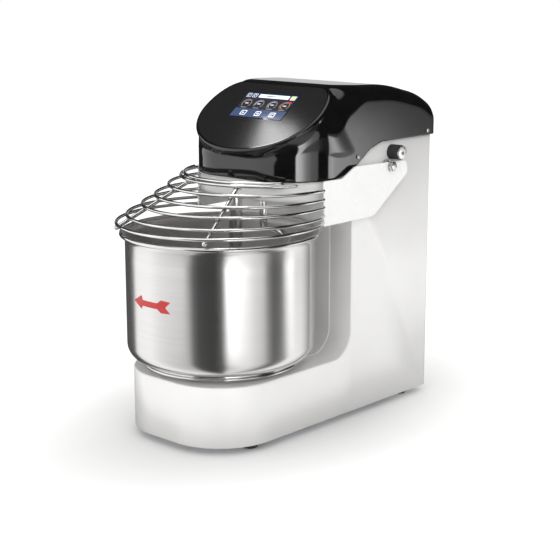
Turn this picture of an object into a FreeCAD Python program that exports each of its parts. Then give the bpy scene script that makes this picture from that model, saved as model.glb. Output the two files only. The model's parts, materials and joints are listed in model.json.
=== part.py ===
"""Bench spiral dough mixer: a fixed head, a turning bowl, a spiral, and a lift-up wire guard.

Millimetres, +Z up. The front of the machine faces -Y. Dimensions below are measured from the bowl's
axis; every piece is moved back by CENTRE_Y when it is written, so that the origin is the middle of
the machine's outline on the floor.
"""
import FreeCAD, Part
import math
import os

V = FreeCAD.Vector
UP = V(0, 0, 1)

# ---- driving dimensions, from the bowl's axis and the floor --------------------------------------
FOOT_H = 10.0            # height of the rubber feet
BODY_HALF_W = 111.0      # half width of the painted chassis
BODY_FRONT = -111.3      # front of the round nose of the base
BODY_REAR = 330.0
NOSE_R = 86.0            # plan radius of the base's front corners
REAR_R = 7.0
SHEET = 2.0              # chassis sheet thickness
DECK_Z = 93.3            # top of the base
COLUMN_Y = 148.0         # front face of the column
FILLET_R = 37.0          # sweep between base and column
BODY_TOP = 400.0         # chassis edge, hidden inside the cover
LIP_R = 2.2              # soft edge where the side panels turn into deck and column front

BOWL_R = 130.0           # outside of the bowl wall
BOWL_Z0 = 105.6          # underside of the bowl
BOWL_TOP = 283.1
BOWL_WALL = 1.5
BOWL_CORNER_R = 22.0
RIM_R = 137.6            # outside of the rolled rim
RIM_TUBE_R = 3.2
DISC_R = 109.6           # turntable under the bowl
DISC_Z0 = 98.9

HEAD_HALF_W = 113.5      # outside of the black cover
HEAD_FRONT = 28.0
HEAD_CORNER_R = 75.0
HEAD_REAR = 340.0
HEAD_Z0 = 349.5          # lower edge of the cover at the nose
HEAD_SIDE_Z = 392.6      # lower edge of the cover along the column
COVER_WALL = 2.3
COVER_EDGE_R = 22.0      # rounding between the cover's top and its sides
COVER_REAR_R = 14.0      # plan radius of the cover's rear corners
CROWN_BEND = (306.0, 453.0)             # y and z where the crown turns down to the rear
CROWN_FALL = 19.0 / 34.0                # slope of the crown behind that bend
CROWN_TAIL_R = 20.0      # rounding between the crown and the rear face

PANEL_TILT = math.radians(36.4)
PANEL_Y = 88.3           # centre of the touch screen on the sloping panel
PANEL_Z = 443.4
PANEL_HALF_W = 110.0
PANEL_UP = 49.0          # panel edge above the screen centre, along the slope
PANEL_DOWN = 91.0        # panel edge below the screen centre, along the slope
PANEL_WIDEST = -10.0     # slope position where the panel is widest
PANEL_FLAT = 70.0        # half length of the straight top edge
SCREEN_HALF_W = 50.2
SCREEN_HALF_H = 26.7

PAN_Z0 = 321.0           # underside of the white head pan
PAN_FRONT = 31.0
PAN_CORNER_R = 72.0
PAN_TOP = 370.0

SPIRAL_XY = (28.2, 56.0)
SPIRAL_ROD_R = 5.5
SPIRAL_COIL_R = 38.0     # centre line of the spiral's rod
BREAKER_XY = (-29.2, 60.0)
BREAKER_R = 9.5
MAIN_XY = (-35.0, 190.0)
MOTOR_XY = (25.0, 268.0)
SHAFT_R = 8.5
BOWL_SHAFT_R = 12.45
RUN_FIT = 0.05           # radial clearance of a shaft in its bearing

HINGE_Y = 220.8          # pivot of the wire guard
HINGE_Z = 356.5
ARM_IN = 118.0           # inner face of the guard's side plates
ARM_OUT = 121.0
ARM_FRONT = 76.0
PIVOT_R = 6.0            # outside of the pivot bush
BUFFER_YZ = (233.5, 375.6)
BUFFER_R = 10.5
WIRE_R = 2.25            # guard rings
RIB_R = 2.8              # straight rods under the rings
# centre y, plan radius and height of each ring, lowest first
RINGS = [
    (0.8, 141.4, 294.7),
    (12.5, 135.6, 304.0),
    (30.8, 128.1, 316.0),
    (48.2, 123.0, 326.5),
    (69.5, 120.0, 338.3),
    (94.8, 121.3, 348.2),
    (98.5, 119.0, 351.5),
]
# degrees from the front at which a ring's free ends lie; None is an end on a side plate
FREE_ENDS = {6: (None, 61.0), 7: (-72.0, 50.0)}

CHAIN_PITCH = 8.0
TOP_PITCH = 9.525
BOWL_TEETH = 60
MAIN_LOW_TEETH = 12
MAIN_TOP_TEETH = 20
SPIRAL_TEETH = 13
DRIVEN_PULLEY_R = 70.0
MOTOR_PULLEY_R = 14.0

GUARD_FRONT = RINGS[0][0] - RINGS[0][1] - WIRE_R
CENTRE_Y = (GUARD_FRONT + HEAD_REAR) / 2


# ---- small makers ------------------------------------------------------------------------------------
def cyl(radius, z0, z1, xy=(0.0, 0.0)):
    return Part.makeCylinder(radius, z1 - z0, V(xy[0], xy[1], z0))


def tube(r_in, r_out, z0, z1, xy=(0.0, 0.0)):
    return cyl(r_out, z0, z1, xy).cut(cyl(r_in, z0 - 1, z1 + 1, xy))


def x_cyl(radius, x0, x1, y, z):
    return Part.makeCylinder(radius, x1 - x0, V(x0, y, z), V(1, 0, 0))


def block(x0, x1, y0, y1, z0, z1):
    return Part.makeBox(x1 - x0, y1 - y0, z1 - z0, V(x0, y0, z0))


def fuse(shapes):
    first, rest = shapes[0], shapes[1:]
    return first.multiFuse(rest).removeSplitter() if rest else first


def mirrored(shape):
    return shape.mirror(V(0, 0, 0), V(1, 0, 0))


def pair(shape):
    return [shape, mirrored(shape)]


def rounded_wire(points, place):
    """Closed outline through (a, b, radius) points, each corner rounded to its radius."""
    corners = []
    count = len(points)
    for i, (a, b, radius) in enumerate(points):
        here = V(a, b, 0)
        before = V(points[i - 1][0], points[i - 1][1], 0) - here
        after = V(points[(i + 1) % count][0], points[(i + 1) % count][1], 0) - here
        before.normalize()
        after.normalize()
        if radius <= 0:
            corners.append((here, None, here))
            continue
        half = before.getAngle(after) / 2
        reach = radius / math.tan(half)
        bisector = before + after
        bisector.normalize()
        middle = here + bisector * (radius / math.sin(half) - radius)
        corners.append((here + before * reach, middle, here + after * reach))
    edges = []
    for i, (start, middle, end) in enumerate(corners):
        if middle is not None:
            arc = Part.Arc(place(start.x, start.y), place(middle.x, middle.y), place(end.x, end.y))
            edges.append(arc.toShape())
        nxt = corners[(i + 1) % count][0]
        if (nxt - end).Length > 1e-6:
            edges.append(Part.LineSegment(place(end.x, end.y), place(nxt.x, nxt.y)).toShape())
    return Part.Wire(Part.__sortEdges__(edges))


def plan_solid(points, z0, z1):
    face = Part.Face(rounded_wire(points, lambda a, b: V(a, b, z0)))
    return face.extrude(V(0, 0, z1 - z0))


def side_solid(points, x0, x1):
    """Outline in y and z, extruded across the machine."""
    face = Part.Face(rounded_wire(points, lambda a, b: V(x0, a, b)))
    return face.extrude(V(x1 - x0, 0, 0))


def u_plan(half_w, front, corner_r, rear, rear_r, z0, z1):
    points = [
        (-half_w, front, corner_r),
        (half_w, front, corner_r),
        (half_w, rear, rear_r),
        (-half_w, rear, rear_r),
    ]
    return plan_solid(points, z0, z1)


def turned(outline, xy=(0.0, 0.0)):
    """Solid of revolution about a vertical axis from closed (radius, z) points."""
    wire = Part.makePolygon([V(r, 0, z) for r, z in outline + outline[:1]])
    solid = Part.Face(wire).revolve(V(0, 0, 0), UP, 360)
    solid.translate(V(xy[0], xy[1], 0))
    return solid


def toothed_disc(teeth, pitch, z0, z1, bore_r, xy):
    """Chain wheel: flat-topped teeth on the pitch circle of the chain."""
    pitch_r = pitch / (2 * math.sin(math.pi / teeth))
    root_r, tip_r = pitch_r - 0.28 * pitch, pitch_r - 0.5
    points = []
    for i in range(teeth):
        for share, radius in ((0.0, root_r), (0.36, root_r), (0.56, tip_r), (0.80, tip_r)):
            angle = 2 * math.pi * (i + share) / teeth
            points.append(V(radius * math.cos(angle) + xy[0], radius * math.sin(angle) + xy[1], z0))
    disc = Part.Face(Part.makePolygon(points + points[:1])).extrude(V(0, 0, z1 - z0))
    return disc.cut(cyl(bore_r, z0 - 1, z1 + 1, xy))


def sprocket_r(teeth, pitch):
    return pitch / (2 * math.sin(math.pi / teeth))


def open_belt(xy_a, r_a, xy_b, r_b, z0, z1):
    """Solid bounded by a belt round two wheels: two circles and their outer tangents."""
    ax, ay = xy_a
    bx, by = xy_b
    span = math.hypot(bx - ax, by - ay)
    heading = math.atan2(by - ay, bx - ax)
    spread = math.acos((r_a - r_b) / span)

    def on(cx, cy, radius, angle):
        return V(cx + radius * math.cos(angle), cy + radius * math.sin(angle), z0)

    left, right = heading + spread, heading - spread
    a_left, a_back, a_right = (on(ax, ay, r_a, t) for t in (left, heading + math.pi, right))
    b_left, b_front, b_right = (on(bx, by, r_b, t) for t in (left, heading, right))
    edges = [
        Part.Arc(a_left, a_back, a_right).toShape(),
        Part.LineSegment(a_right, b_right).toShape(),
        Part.Arc(b_right, b_front, b_left).toShape(),
        Part.LineSegment(b_left, a_left).toShape(),
    ]
    return Part.Face(Part.Wire(edges)).extrude(V(0, 0, z1 - z0))


def belt_loop(xy_a, r_a, xy_b, r_b, thick, z0, z1):
    outer = open_belt(xy_a, r_a + thick, xy_b, r_b + thick, z0, z1)
    return outer.cut(open_belt(xy_a, r_a, xy_b, r_b, z0 - 1, z1 + 1))


def bar_between(start, end, radius):
    return Part.makeCylinder(radius, (end - start).Length, start, end - start)


def hex_prism_x(across_flats, x0, x1, y, z):
    radius = across_flats / math.sqrt(3)
    points = [
        V(x0, y + radius * math.cos(math.radians(60 * k)), z + radius * math.sin(math.radians(60 * k)))
        for k in range(7)
    ]
    return Part.Face(Part.makePolygon(points)).extrude(V(x1 - x0, 0, 0))


def save(node, *shapes):
    solids = [solid for shape in shapes for solid in shape.Solids]
    kept = Part.makeCompound(solids) if len(solids) > 1 else solids[0]
    kept.translate(V(0, -CENTRE_Y, 0))
    for solid in kept.Solids:
        if not solid.isValid() or solid.Volume <= 0:
            raise ValueError("bad solid in " + node)
    kept.exportStep("parts/" + node + ".step")


# ---- chassis -----------------------------------------------------------------------------------------
def body_form(inset, z0, top):
    """Base and column as one block: the side outline crossed with the plan outline."""
    outline = [
        (BODY_FRONT - 5, z0, 0),
        (BODY_REAR + 5, z0, 0),
        (BODY_REAR + 5, top, 0),
        (COLUMN_Y + inset, top, 0),
        (COLUMN_Y + inset, DECK_Z - inset, FILLET_R + inset),
        (BODY_FRONT - 5, DECK_Z - inset, 0),
    ]
    side = side_solid(outline, -BODY_HALF_W - 5, BODY_HALF_W + 5)
    plan = u_plan(
        BODY_HALF_W - inset, BODY_FRONT + inset, NOSE_R - inset, BODY_REAR - inset, REAR_R - inset,
        z0, top,
    )
    return plan.common(side)


def on_l_face(edge):
    """True for the outline of deck, sweep and column front, where the sheet is folded softly."""
    box = edge.BoundBox
    middle = edge.valueAt((edge.FirstParameter + edge.LastParameter) / 2)
    on_deck = abs(box.ZMin - DECK_Z) < 0.01 and abs(box.ZMax - DECK_Z) < 0.01 and middle.y < COLUMN_Y
    on_side = abs(abs(middle.x) - BODY_HALF_W) < 0.01 and middle.z > DECK_Z - 0.01
    on_column = on_side and middle.y < COLUMN_Y + 0.01 and box.ZMax <= BODY_TOP + 0.01
    return (on_deck and box.YMax < COLUMN_Y and not spans_width(edge)) or on_column


def spans_width(edge):
    """True for an edge that crosses the whole machine from side to side."""
    return edge.BoundBox.XLength > 2 * BODY_HALF_W - 1


def body_shell():
    outer = body_form(0.0, FOOT_H, BODY_TOP)
    folded = [edge for edge in outer.Edges if on_l_face(edge)]
    outer = outer.makeFillet(LIP_R, folded)
    shell = outer.cut(body_form(SHEET, FOOT_H - 5, BODY_TOP + 5))
    head_way = block(-BODY_HALF_W + SHEET, BODY_HALF_W - SHEET, COLUMN_Y - 1, COLUMN_Y + 3,
                     PAN_Z0 + SHEET, BODY_TOP + 1)
    rear_way = block(-95, 95, BODY_REAR - 3, BODY_REAR + 1, 40, 378)
    shaft_way = cyl(32, DECK_Z - 5, DECK_Z + 1)
    holes = [head_way, rear_way, shaft_way]
    for bolt in pair(x_cyl(4.0, 100, 120, HINGE_Y, HINGE_Z)):
        holes.append(bolt)
    for bolt in pair(x_cyl(3.0, 100, 120, *BUFFER_YZ)):
        holes.append(bolt)
    return shell.cut(holes[0].multiFuse(holes[1:]))


DECK_PLATE_HALF_W = 71.5
DECK_PLATE_T = 1.5
DECK_PLATE_FRONT = -62.0


def deck_plate():
    """Cover strip that runs down the column front, round the sweep and under the bowl."""
    t = DECK_PLATE_T
    outline = [
        (DECK_PLATE_FRONT, DECK_Z, 0),
        (COLUMN_Y, DECK_Z, FILLET_R),
        (COLUMN_Y, PAN_Z0, 0),
        (COLUMN_Y - t, PAN_Z0, 0),
        (COLUMN_Y - t, DECK_Z + t, FILLET_R - t),
        (DECK_PLATE_FRONT, DECK_Z + t, 0),
    ]
    plate = side_solid(outline, -DECK_PLATE_HALF_W, DECK_PLATE_HALF_W)
    return plate.cut(cyl(20, DECK_Z - 1, DECK_Z + 5))


def bottom_plate():
    inset = SHEET
    plate = u_plan(BODY_HALF_W - inset, BODY_FRONT + inset, NOSE_R - inset, BODY_REAR - inset,
                   REAR_R - inset, FOOT_H + 0.5, FOOT_H + 2.5)
    for row in range(5):
        y = 180 + 14 * row
        plate = plate.cut(block(-60, 60, y, y + 5, FOOT_H, FOOT_H + 3))
    return plate


FOOT_R = 11.0
FOOT_X = 86.6
FOOT_ROWS = (-35.0, 292.0)


def rubber_feet():
    top = FOOT_H + 0.5
    outline = [(0, 0), (FOOT_R - 0.8, 0), (FOOT_R, 0.8), (FOOT_R, 7), (FOOT_R - 1.5, top), (0, top)]
    return [turned(outline, (x, y)) for x in (-FOOT_X, FOOT_X) for y in FOOT_ROWS]


REAR_PANEL_T = 1.6
PANEL_SCREWS = [(x, z) for x in (-98, 98) for z in (45, 205, 365)]


def y_cyl(radius, y0, y1, x, z):
    return Part.makeCylinder(radius, y1 - y0, V(x, y0, z), V(0, 1, 0))


INLET_XZ = (-58.0, 74.0)
SWITCH_XZ = (-12.0, 74.0)


def rear_panel():
    panel = block(-104, 104, BODY_REAR, BODY_REAR + REAR_PANEL_T, 33, 382)
    panel = panel.makeFillet(6, [e for e in panel.Edges if abs(e.BoundBox.YLength - REAR_PANEL_T) < 0.01])
    cuts = []
    for side in (-1, 1):
        for row in range(9):
            z = 250 + 11 * row
            x0, x1 = sorted((side * 20, side * 80))
            cuts.append(block(x0, x1, BODY_REAR - 1, BODY_REAR + 3, z, z + 4))
    ix, iz = INLET_XZ
    sx, sz = SWITCH_XZ
    cuts.append(block(ix - 14, ix + 14, BODY_REAR - 1, BODY_REAR + 3, iz - 10.5, iz + 10.5))
    cuts.append(block(sx - 8, sx + 8, BODY_REAR - 1, BODY_REAR + 3, sz - 13.5, sz + 13.5))
    for x, z in PANEL_SCREWS:
        cuts.append(y_cyl(1.75, BODY_REAR - 1, BODY_REAR + 3, x, z))
    return panel.cut(cuts[0].multiFuse(cuts[1:]))


def panel_screws():
    screws = []
    rear = BODY_REAR + REAR_PANEL_T
    for x, z in PANEL_SCREWS:
        head = y_cyl(3.4, rear, rear + 1.8, x, z)
        recess = block(x - 2.2, x + 2.2, rear + 0.8, rear + 3, z - 0.4, z + 0.4)
        recess = recess.fuse(block(x - 0.4, x + 0.4, rear + 0.8, rear + 3, z - 2.2, z + 2.2))
        screws.append(head.fuse(y_cyl(1.75, BODY_REAR, rear, x, z)).cut(recess))
    return screws


# ---- mains side ----------------------------------------------------------------------------------------
def power_inlet():
    x, z = INLET_XZ
    rear = BODY_REAR + REAR_PANEL_T
    flange = block(x - 24, x + 24, rear, rear + 2.4, z - 13, z + 13)
    shell = block(x - 13.8, x + 13.8, rear - 20, rear, z - 10.3, z + 10.3)
    cavity = block(x - 11.8, x + 11.8, rear - 15, rear + 3, z - 8.2, z + 8.2)
    pins = [block(x + dx - 1, x + dx + 1, rear - 16, rear - 3, z + dz - 2, z + dz + 2)
            for dx, dz in ((-7, -2), (0, 2), (7, -2))]
    return fuse([flange.fuse(shell).cut(cavity)] + pins)


ROCKER_PIVOT_Y = BODY_REAR + 0.5
ROCKER_HALF_W = 6.0
ROCKER_R = 11.2
ROCKER_TILT = 8.0


def switch_housing():
    x, z = SWITCH_XZ
    rear = BODY_REAR + REAR_PANEL_T
    flange = block(x - 10.5, x + 10.5, rear, rear + 2, z - 16, z + 16)
    body = block(x - 7.8, x + 7.8, rear - 22, rear, z - 13.3, z + 13.3)
    cavity = block(x - 6.4, x + 6.4, rear - 14, rear + 3, z - 11.8, z + 11.8)
    return flange.fuse(body).cut(cavity).cut(x_cyl(1.06, x - 7.4, x + 7.4, ROCKER_PIVOT_Y, z))


def power_switch():
    """Rocker, tilted to its off position; it turns through twice the tilt to switch on."""
    x, z = SWITCH_XZ
    y = ROCKER_PIVOT_Y
    outline = [(y - 4, z - 11, 1), (y + 6.0, z - 11, 1), (y + 4.2, z, 0), (y + 6.0, z + 11, 1),
               (y - 4, z + 11, 1)]
    rocker = side_solid(outline, x - ROCKER_HALF_W, x + ROCKER_HALF_W)
    rocker = rocker.common(x_cyl(ROCKER_R, x - 10, x + 10, y, z))
    rocker = rocker.fuse(x_cyl(1.0, x - ROCKER_HALF_W - 1, x + ROCKER_HALF_W + 1, y, z))
    rocker.rotate(V(x, y, z), V(1, 0, 0), -ROCKER_TILT)
    return rocker


def inverter_box():
    box = block(26, 102, 156, 212, 82, 200)
    fins = [block(26 + 8 * i, 29 + 8 * i, 212, 218, 86, 196) for i in range(9)]
    return fuse([box] + fins)


# ---- turning bowl --------------------------------------------------------------------------------------
def bowl():
    """Spun bowl, revolved from its wall section: flat floor, rounded corner, wall, rolled rim."""
    wall, corner, rim_z = BOWL_WALL, BOWL_CORNER_R, BOWL_TOP - RIM_TUBE_R
    rim_r = RIM_R - RIM_TUBE_R
    turn = math.sqrt(0.5)
    z0, neck = BOWL_Z0, BOWL_TOP - 12

    def p(r, z):
        return V(r, 0, z)

    def corner_arc(radius):
        centre_r, centre_z = BOWL_R - corner, z0 + corner
        return Part.Arc(p(centre_r, centre_z - radius), p(centre_r + radius * turn, centre_z - radius * turn),
                        p(centre_r + radius, centre_z)).toShape()

    inner_r = BOWL_R - wall
    flare_out, flare_in = p(rim_r - 1.5, rim_z - RIM_TUBE_R * 0.6), p(rim_r - 1.5 - wall, rim_z)
    edges = [
        Part.LineSegment(p(0, z0), p(BOWL_R - corner, z0)).toShape(),
        corner_arc(corner),
        Part.LineSegment(p(BOWL_R, z0 + corner), p(BOWL_R, neck)).toShape(),
        Part.LineSegment(p(BOWL_R, neck), flare_out).toShape(),
        Part.LineSegment(flare_out, flare_in).toShape(),
        Part.LineSegment(flare_in, p(inner_r, neck + wall)).toShape(),
        Part.LineSegment(p(inner_r, neck + wall), p(inner_r, z0 + corner)).toShape(),
        corner_arc(corner - wall),
        Part.LineSegment(p(BOWL_R - corner, z0 + wall), p(0, z0 + wall)).toShape(),
        Part.LineSegment(p(0, z0 + wall), p(0, z0)).toShape(),
    ]
    wire = Part.Wire(Part.__sortEdges__(edges))
    body = Part.Face(wire).revolve(V(0, 0, 0), UP, 360)
    rim = Part.makeTorus(rim_r, RIM_TUBE_R, V(0, 0, rim_z), UP)
    return body.fuse(rim)


def turntable():
    """Steel disc with a groove round its edge, which shows as two bright lines."""
    outline = [
        (14, DISC_Z0), (DISC_R - 1, DISC_Z0), (DISC_R, DISC_Z0 + 0.8), (DISC_R, DISC_Z0 + 2.6),
        (DISC_R - 3.5, DISC_Z0 + 2.9), (DISC_R - 3.5, DISC_Z0 + 3.7), (DISC_R - 1.4, DISC_Z0 + 4.0),
        (DISC_R - 1.4, BOWL_Z0 - 1.0), (DISC_R - 3, BOWL_Z0), (14, BOWL_Z0),
    ]
    return turned(outline)


SPROCKET_Z = (26.5, 31.5)
BOWL_CHAIN_Z = (25.5, 32.5)


def bowl_shaft():
    spindle = cyl(BOWL_SHAFT_R, 20, DISC_Z0)
    flange = cyl(40, DECK_Z + DECK_PLATE_T + 0.6, DISC_Z0)
    return fuse([spindle, flange, cyl(13.9, DISC_Z0, BOWL_Z0)])


def bowl_sprocket():
    z0, z1 = SPROCKET_Z
    wheel = toothed_disc(BOWL_TEETH, CHAIN_PITCH, z0, z1, BOWL_SHAFT_R, (0, 0))
    for k in range(6):
        angle = math.radians(60 * k)
        wheel = wheel.cut(cyl(14, z0 - 1, z1 + 1, (46 * math.cos(angle), 46 * math.sin(angle))))
    return wheel.fuse(tube(BOWL_SHAFT_R, 20, z1, z1 + 5))


BEARING_W = 12.0
BOWL_BEARING_Z = (42.0, 77.0)


def bearing(bore_r, outer_r, z0, width, xy):
    """Ball bearing as one ring, with the gap between its races as a groove on both faces."""
    middle = (bore_r + outer_r) / 2
    ring = tube(bore_r, outer_r, z0, z0 + width, xy)
    for level in (z0 - 1, z0 + width - 1):
        ring = ring.cut(tube(middle - 1.6, middle + 1.6, level, level + 2, xy))
    return ring


def bowl_housing():
    flange_top = DECK_Z - SHEET
    body = fuse([cyl(31, 39, flange_top), cyl(50, flange_top - 7, flange_top)])
    for z in BOWL_BEARING_Z:
        body = body.cut(cyl(23.5, z, z + BEARING_W))
    body = body.cut(cyl(22.5, BOWL_BEARING_Z[0] - 5, flange_top + 1))
    return body


def bowl_bearings():
    return [bearing(BOWL_SHAFT_R + RUN_FIT, 23.5, z, BEARING_W, (0, 0)) for z in BOWL_BEARING_Z]


# ---- head: pan, plate, cover -----------------------------------------------------------------------------
def pan_form(inset, z0, z1):
    return u_plan(BODY_HALF_W - inset, PAN_FRONT + inset, PAN_CORNER_R - inset, COLUMN_Y, 0, z0, z1)


def head_pan():
    outer = pan_form(0.0, PAN_Z0, PAN_TOP)
    bottom = [e for e in outer.Edges
              if abs(e.BoundBox.ZMax - PAN_Z0) < 0.01 and e.BoundBox.YMin < COLUMN_Y - 1]
    outer = outer.makeFillet(5.0, bottom)
    pan = outer.cut(pan_form(SHEET, PAN_Z0 + SHEET, PAN_TOP + 1).fuse(
        block(-BODY_HALF_W + SHEET, BODY_HALF_W - SHEET, COLUMN_Y - 5, COLUMN_Y + 1,
              PAN_Z0 + SHEET, PAN_TOP + 1)))
    pan = pan.cut(cyl(13, PAN_Z0 - 1, PAN_Z0 + 5, SPIRAL_XY))
    return pan.cut(cyl(BREAKER_R + 0.2, PAN_Z0 - 1, PAN_Z0 + 5, BREAKER_XY))


HEAD_PLATE_Z = (340.0, 346.0)
TOP_SPROCKET_Z = (383.5, 388.5)
TOP_CHAIN_Z = (382.5, 389.5)
PULLEY_Z = (354.0, 370.0)
SPIRAL_BEARING_Z = (327.0, 366.0)
SMALL_BEARING_R = 17.5
SMALL_BEARING_W = 10.0
SPIRAL_HOUSING_R = 21.0


def head_plate():
    z0, z1 = HEAD_PLATE_Z
    plate = u_plan(100, PAN_FRONT + 6, 62, BODY_REAR - 12, 4, z0, z1)
    plate = plate.cut(cyl(SPIRAL_HOUSING_R, z0 - 1, z1 + 1, SPIRAL_XY))
    plate = plate.cut(cyl(SMALL_BEARING_R, z0 - 1, z1 + 1, MAIN_XY))
    plate = plate.cut(cyl(20, z0 - 1, z1 + 1, MOTOR_XY))
    for x, y in breaker_bolt_spots():
        plate = plate.cut(cyl(3, z0 - 1, z1 + 1, (x, y)))
    return plate


def crown_tail_z(y, inset):
    """Height of the crown's straight last stretch."""
    return CROWN_BEND[1] - inset - (y - CROWN_BEND[0]) * CROWN_FALL


def cover_outline(inset):
    """Side outline of the cover: nose, sloping panel and crown, which runs on past the rear face."""
    run = PANEL_Z - 3.0
    slope = math.tan(PANEL_TILT)
    nose = HEAD_FRONT + inset
    lift = inset / math.cos(PANEL_TILT)
    beyond = HEAD_REAR + 60

    def on_slope(y):
        return run - (PANEL_Y - y) * slope - lift

    return [
        (nose, HEAD_Z0 - 20, 0),
        (nose, on_slope(nose), 6),
        (133.5, on_slope(133.5) - 0.2, 30),
        (236, 469.6 - inset, 260),
        (CROWN_BEND[0], CROWN_BEND[1] - inset, 120),
        (beyond, crown_tail_z(beyond, inset), 0),
        (beyond, HEAD_Z0 - 20, 0),
    ]


def cover_limits(inset):
    """Plan outline of the cover, with the rounded end of its crown."""
    plan = u_plan(HEAD_HALF_W - inset, HEAD_FRONT + inset, HEAD_CORNER_R - inset, HEAD_REAR - inset,
                  COVER_REAR_R - inset, HEAD_Z0 - 25, 500)
    front, rear, over_y = HEAD_FRONT - 60, HEAD_REAR - inset, 200.0
    outline = [
        (front, HEAD_Z0 - 40, 0),
        (rear, HEAD_Z0 - 40, 0),
        (rear, crown_tail_z(rear, inset), CROWN_TAIL_R - inset),
        (over_y, crown_tail_z(over_y, inset), 0),
        (front, crown_tail_z(over_y, inset), 0),
    ]
    return plan.common(side_solid(outline, -HEAD_HALF_W - 5, HEAD_HALF_W + 5))


def cover_block(inset):
    solid = side_solid(cover_outline(inset), -HEAD_HALF_W + inset, HEAD_HALF_W - inset)
    limit = HEAD_HALF_W - inset - 0.01
    top_edges = [
        e for e in solid.Edges
        if abs(e.BoundBox.XMin) > limit and e.BoundBox.XLength < 0.01 and is_cover_top(e, inset)
    ]
    solid = solid.makeFillet(COVER_EDGE_R - inset, top_edges)
    return solid.common(cover_limits(inset))


def is_cover_top(edge, inset):
    """True for the chain of edges from the panel's foot over the crown to the rear end."""
    box = edge.BoundBox
    upright_nose = box.YMax < HEAD_FRONT + inset + 0.01
    upright_rear = box.YMin > HEAD_REAR - inset - 0.01
    lower = box.ZMax < HEAD_Z0
    return not (upright_nose or upright_rear or lower)


def cover_lower_cut():
    """Everything under the cover's edge: level at the nose, an S up to the straight column edge."""
    outline = [
        (HEAD_FRONT - 50, 300, 0),
        (HEAD_REAR + 20, 300, 0),
        (HEAD_REAR + 20, HEAD_SIDE_Z, 0),
        (208, HEAD_SIDE_Z, 34),
        (183, 384.5, 0),
        (149, 361.8, 16),
        (129, 353.5, 20),
        (106, HEAD_Z0, 30),
        (HEAD_FRONT - 50, HEAD_Z0, 0),
    ]
    return side_solid(outline, -HEAD_HALF_W - 20, HEAD_HALF_W + 20)


def panel_point(u, v, depth):
    """Point on the control panel: u across, v up the slope, depth down into the head."""
    return V(
        u,
        PANEL_Y + v * math.cos(PANEL_TILT) + depth * math.sin(PANEL_TILT),
        PANEL_Z + v * math.sin(PANEL_TILT) - depth * math.cos(PANEL_TILT),
    )


PANEL_IN = V(0, math.sin(PANEL_TILT), -math.cos(PANEL_TILT))


def panel_outline(inset, depth):
    """Panel outline: straight top, elliptic shoulders and a wide elliptic chin."""
    half, top, low = PANEL_HALF_W - inset, PANEL_UP - inset, PANEL_DOWN - inset
    flat = PANEL_FLAT
    across, along = V(1, 0, 0), V(0, math.cos(PANEL_TILT), math.sin(PANEL_TILT))

    def quarter(centre_u, centre_v, size_u, size_v, to_right, to_top):
        points = []
        for k in range(3):
            angle = math.radians(45 * k)
            du, dv = size_u * math.cos(angle), size_v * math.sin(angle)
            points.append((centre_u + (du if to_right else -du), centre_v + (dv if to_top else -dv)))
        centre = panel_point(centre_u, centre_v, depth)
        major, minor = (across, along) if size_u >= size_v else (along, across)
        ellipse = Part.Ellipse(centre + major * max(size_u, size_v), centre + minor * min(size_u, size_v),
                               centre)
        first, last = (ellipse.parameter(panel_point(u, v, depth)) for u, v in (points[0], points[2]))
        middle = ellipse.parameter(panel_point(points[1][0], points[1][1], depth))
        if not is_between(first, middle, last):
            first, last = last, first
        if last < first:
            last += 2 * math.pi
        return Part.ArcOfEllipse(ellipse, first, last).toShape()

    shoulder_u, shoulder_v = half - flat, top - PANEL_WIDEST
    edges = [
        Part.LineSegment(panel_point(-flat, top, depth), panel_point(flat, top, depth)).toShape(),
        quarter(flat, PANEL_WIDEST, shoulder_u, shoulder_v, True, True),
        quarter(0, PANEL_WIDEST, half, low + PANEL_WIDEST, True, False),
        quarter(0, PANEL_WIDEST, half, low + PANEL_WIDEST, False, False),
        quarter(-flat, PANEL_WIDEST, shoulder_u, shoulder_v, False, True),
    ]
    return Part.Face(Part.Wire(Part.__sortEdges__(edges)))


def is_between(first, middle, last):
    turn = 2 * math.pi
    return (middle - first) % turn < (last - first) % turn


def panel_slab(inset, depth, thick):
    return panel_outline(inset, depth).extrude(PANEL_IN * thick)


BROW_DEPTH = 20.0        # depth of the raised rim that carries the control panel
FASCIA_T = 2.6


def head_cover():
    outer = cover_block(0.0).fuse(panel_slab(0.0, 0.0, BROW_DEPTH))
    inner = cover_block(COVER_WALL).fuse(panel_slab(COVER_WALL, FASCIA_T + 0.2 + COVER_WALL,
                                                    BROW_DEPTH - FASCIA_T - 2 * COVER_WALL))
    cover = outer.cut(cover_lower_cut()).cut(inner)
    cover = cover.cut(panel_slab(4.0, -1.0, FASCIA_T + 1.0))
    cover = cover.cut(panel_slab(10.0, -1.0, 14))
    for hole in cover_screw_bodies(1.6, 1.6):
        cover = cover.cut(hole)
    return largest(cover)


def largest(shape):
    return max(shape.Solids, key=lambda solid: solid.Volume)


COVER_SCREW_SPOTS = [(315.0, 399.0), (155.5, 376.0)]


def cover_screw_bodies(shank_r, head_r):
    bodies = []
    for y, z in COVER_SCREW_SPOTS:
        shank = x_cyl(shank_r, HEAD_HALF_W - 8, HEAD_HALF_W, y, z)
        head = x_cyl(head_r, HEAD_HALF_W, HEAD_HALF_W + 2, y, z)
        bodies += pair(shank.fuse(head))
    return bodies


def cover_screws():
    screws = []
    for y, z in COVER_SCREW_SPOTS:
        shank = x_cyl(1.6, HEAD_HALF_W - 2.2, HEAD_HALF_W, y, z)
        head = x_cyl(3.0, HEAD_HALF_W, HEAD_HALF_W + 1.8, y, z)
        head = head.makeFillet(0.8, [e for e in head.Edges if e.BoundBox.XMin > HEAD_HALF_W + 1.7])
        screws += pair(shank.fuse(head).cut(hex_prism_x(2.4, HEAD_HALF_W + 0.7, HEAD_HALF_W + 3, y, z)))
    return screws


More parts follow.
